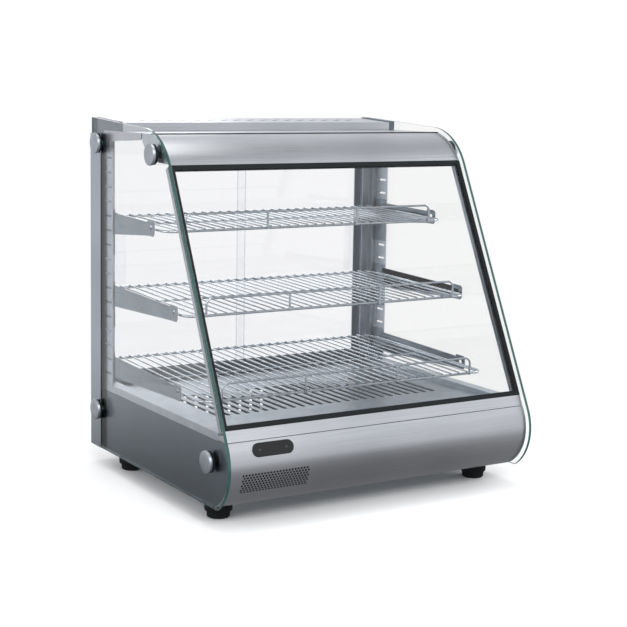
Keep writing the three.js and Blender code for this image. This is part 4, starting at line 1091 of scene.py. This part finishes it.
def paintFloor(floor):
    material, tree = newMaterial("palePaper")
    path = addNode(tree, "ShaderNodeLightPath")
    tone = remap(tree, grainNoise(tree, (40,) * 3), 0.0, 1.0, 0.94, 0.96)
    paper = addNode(tree, "ShaderNodeBsdfDiffuse", {"Color": tone})
    # the paper fades into the white surround away from the case
    place = addNode(tree, "ShaderNodeTexCoord")
    length = addNode(tree, "ShaderNodeVectorMath", {0: place.outputs["Object"]}, operation="LENGTH")
    away = length.outputs["Value"]
    fade = remap(tree, away, floorSize["fadeStart"], floorSize["fadeEnd"], 0.0, 1.0, "SMOOTHSTEP")
    seen = mathNode(tree, "MULTIPLY", path.outputs["Is Camera Ray"], fade)
    glow = addNode(tree, "ShaderNodeEmission", {"Color": (1, 1, 1, 1), "Strength": 1.0})
    # painted shade: glossy rays see a floor glow that is dim close to the case, standing in for the shadow
    # under it, and bright far off
    spread = remap(tree, away, floorSize["mirroredShadeStart"], floorSize["mirroredShadeEnd"], 0.22, 0.9, "SMOOTHSTEP")
    mirroredFloorShade = addNode(tree, "ShaderNodeEmission", {"Color": (0.95, 0.97, 1, 1), "Strength": spread})
    closeTree(tree, mixShaders(tree, path.outputs["Is Glossy Ray"], mixShaders(tree, seen, paper, glow), mirroredFloorShade))
    floor.data.materials.append(material)


def makeRoom():
    bpy.ops.mesh.primitive_circle_add(vertices=floorSize["sides"], radius=floorSize["radius"], fill_type="NGON",
                                      location=(0, 0, -floorSize["drop"]))
    floor = bpy.context.object
    floor.name = "studioFloor"
    paintFloor(floor)
    world = bpy.data.worlds.new("studioWorld")
    bpy.context.scene.world = world
    world.use_nodes = True
    tree = world.node_tree
    tree.nodes.clear()
    path = addNode(tree, "ShaderNodeLightPath")
    white = addNode(tree, "ShaderNodeBackground", {"Color": (1, 1, 1, 1), "Strength": 1.0})
    fill = addNode(tree, "ShaderNodeBackground", {"Color": (0.95, 0.97, 1, 1), "Strength": 0.75})
    # metal mirrors bright walls under a dim ceiling
    place = addNode(tree, "ShaderNodeTexCoord")
    parts = addNode(tree, "ShaderNodeSeparateXYZ", {"Vector": place.outputs["Generated"]})
    dim = remap(tree, parts.outputs["Z"], 0.7, 0.92, 0.9, 0.3, "SMOOTHSTEP")
    walls = addNode(tree, "ShaderNodeBackground", {"Color": (0.93, 0.96, 1, 1), "Strength": dim})
    unseen = mixShaders(tree, path.outputs["Is Glossy Ray"], fill, walls)
    closeTree(tree, mixShaders(tree, path.outputs["Is Camera Ray"], unseen, white), "ShaderNodeOutputWorld")


def addSoftbox(name, place, aim, size, power):
    light = bpy.data.lights.new(name, "AREA")
    light.shape, light.size, light.size_y, light.energy = "RECTANGLE", size[0], size[1], power
    box = addObject(name, light)
    box.location = place
    box.rotation_euler = (Vector(aim) - Vector(place)).to_track_quat("-Z", "Y").to_euler()


makeRoom()
addSoftbox("frontSoftbox", (-0.8, -2.9, 2.3), (0, 0, 0.35), (3.0, 1.4), 70)
addSoftbox("leftSoftbox", (-3.2, -0.4, 1.5), (0, 0, 0.3), (2.2, 1.8), 30)
addSoftbox("rightSoftbox", (2.8, -0.6, 1.6), (0, 0, 0.3), (1.6, 1.6), 30)
addSoftbox("rearSoftbox", (0.2, 2.8, 1.8), (0, 0, 0.35), (2.4, 1.2), 15)
addSoftbox("topSoftbox", (0.0, 0.2, 3.0), (0, 0, 0), (1.6, 1.6), 25)
bpy.context.scene.view_settings.view_transform = "Standard"
bpy.context.scene.cycles.transparent_max_bounces = 32
print("room made")
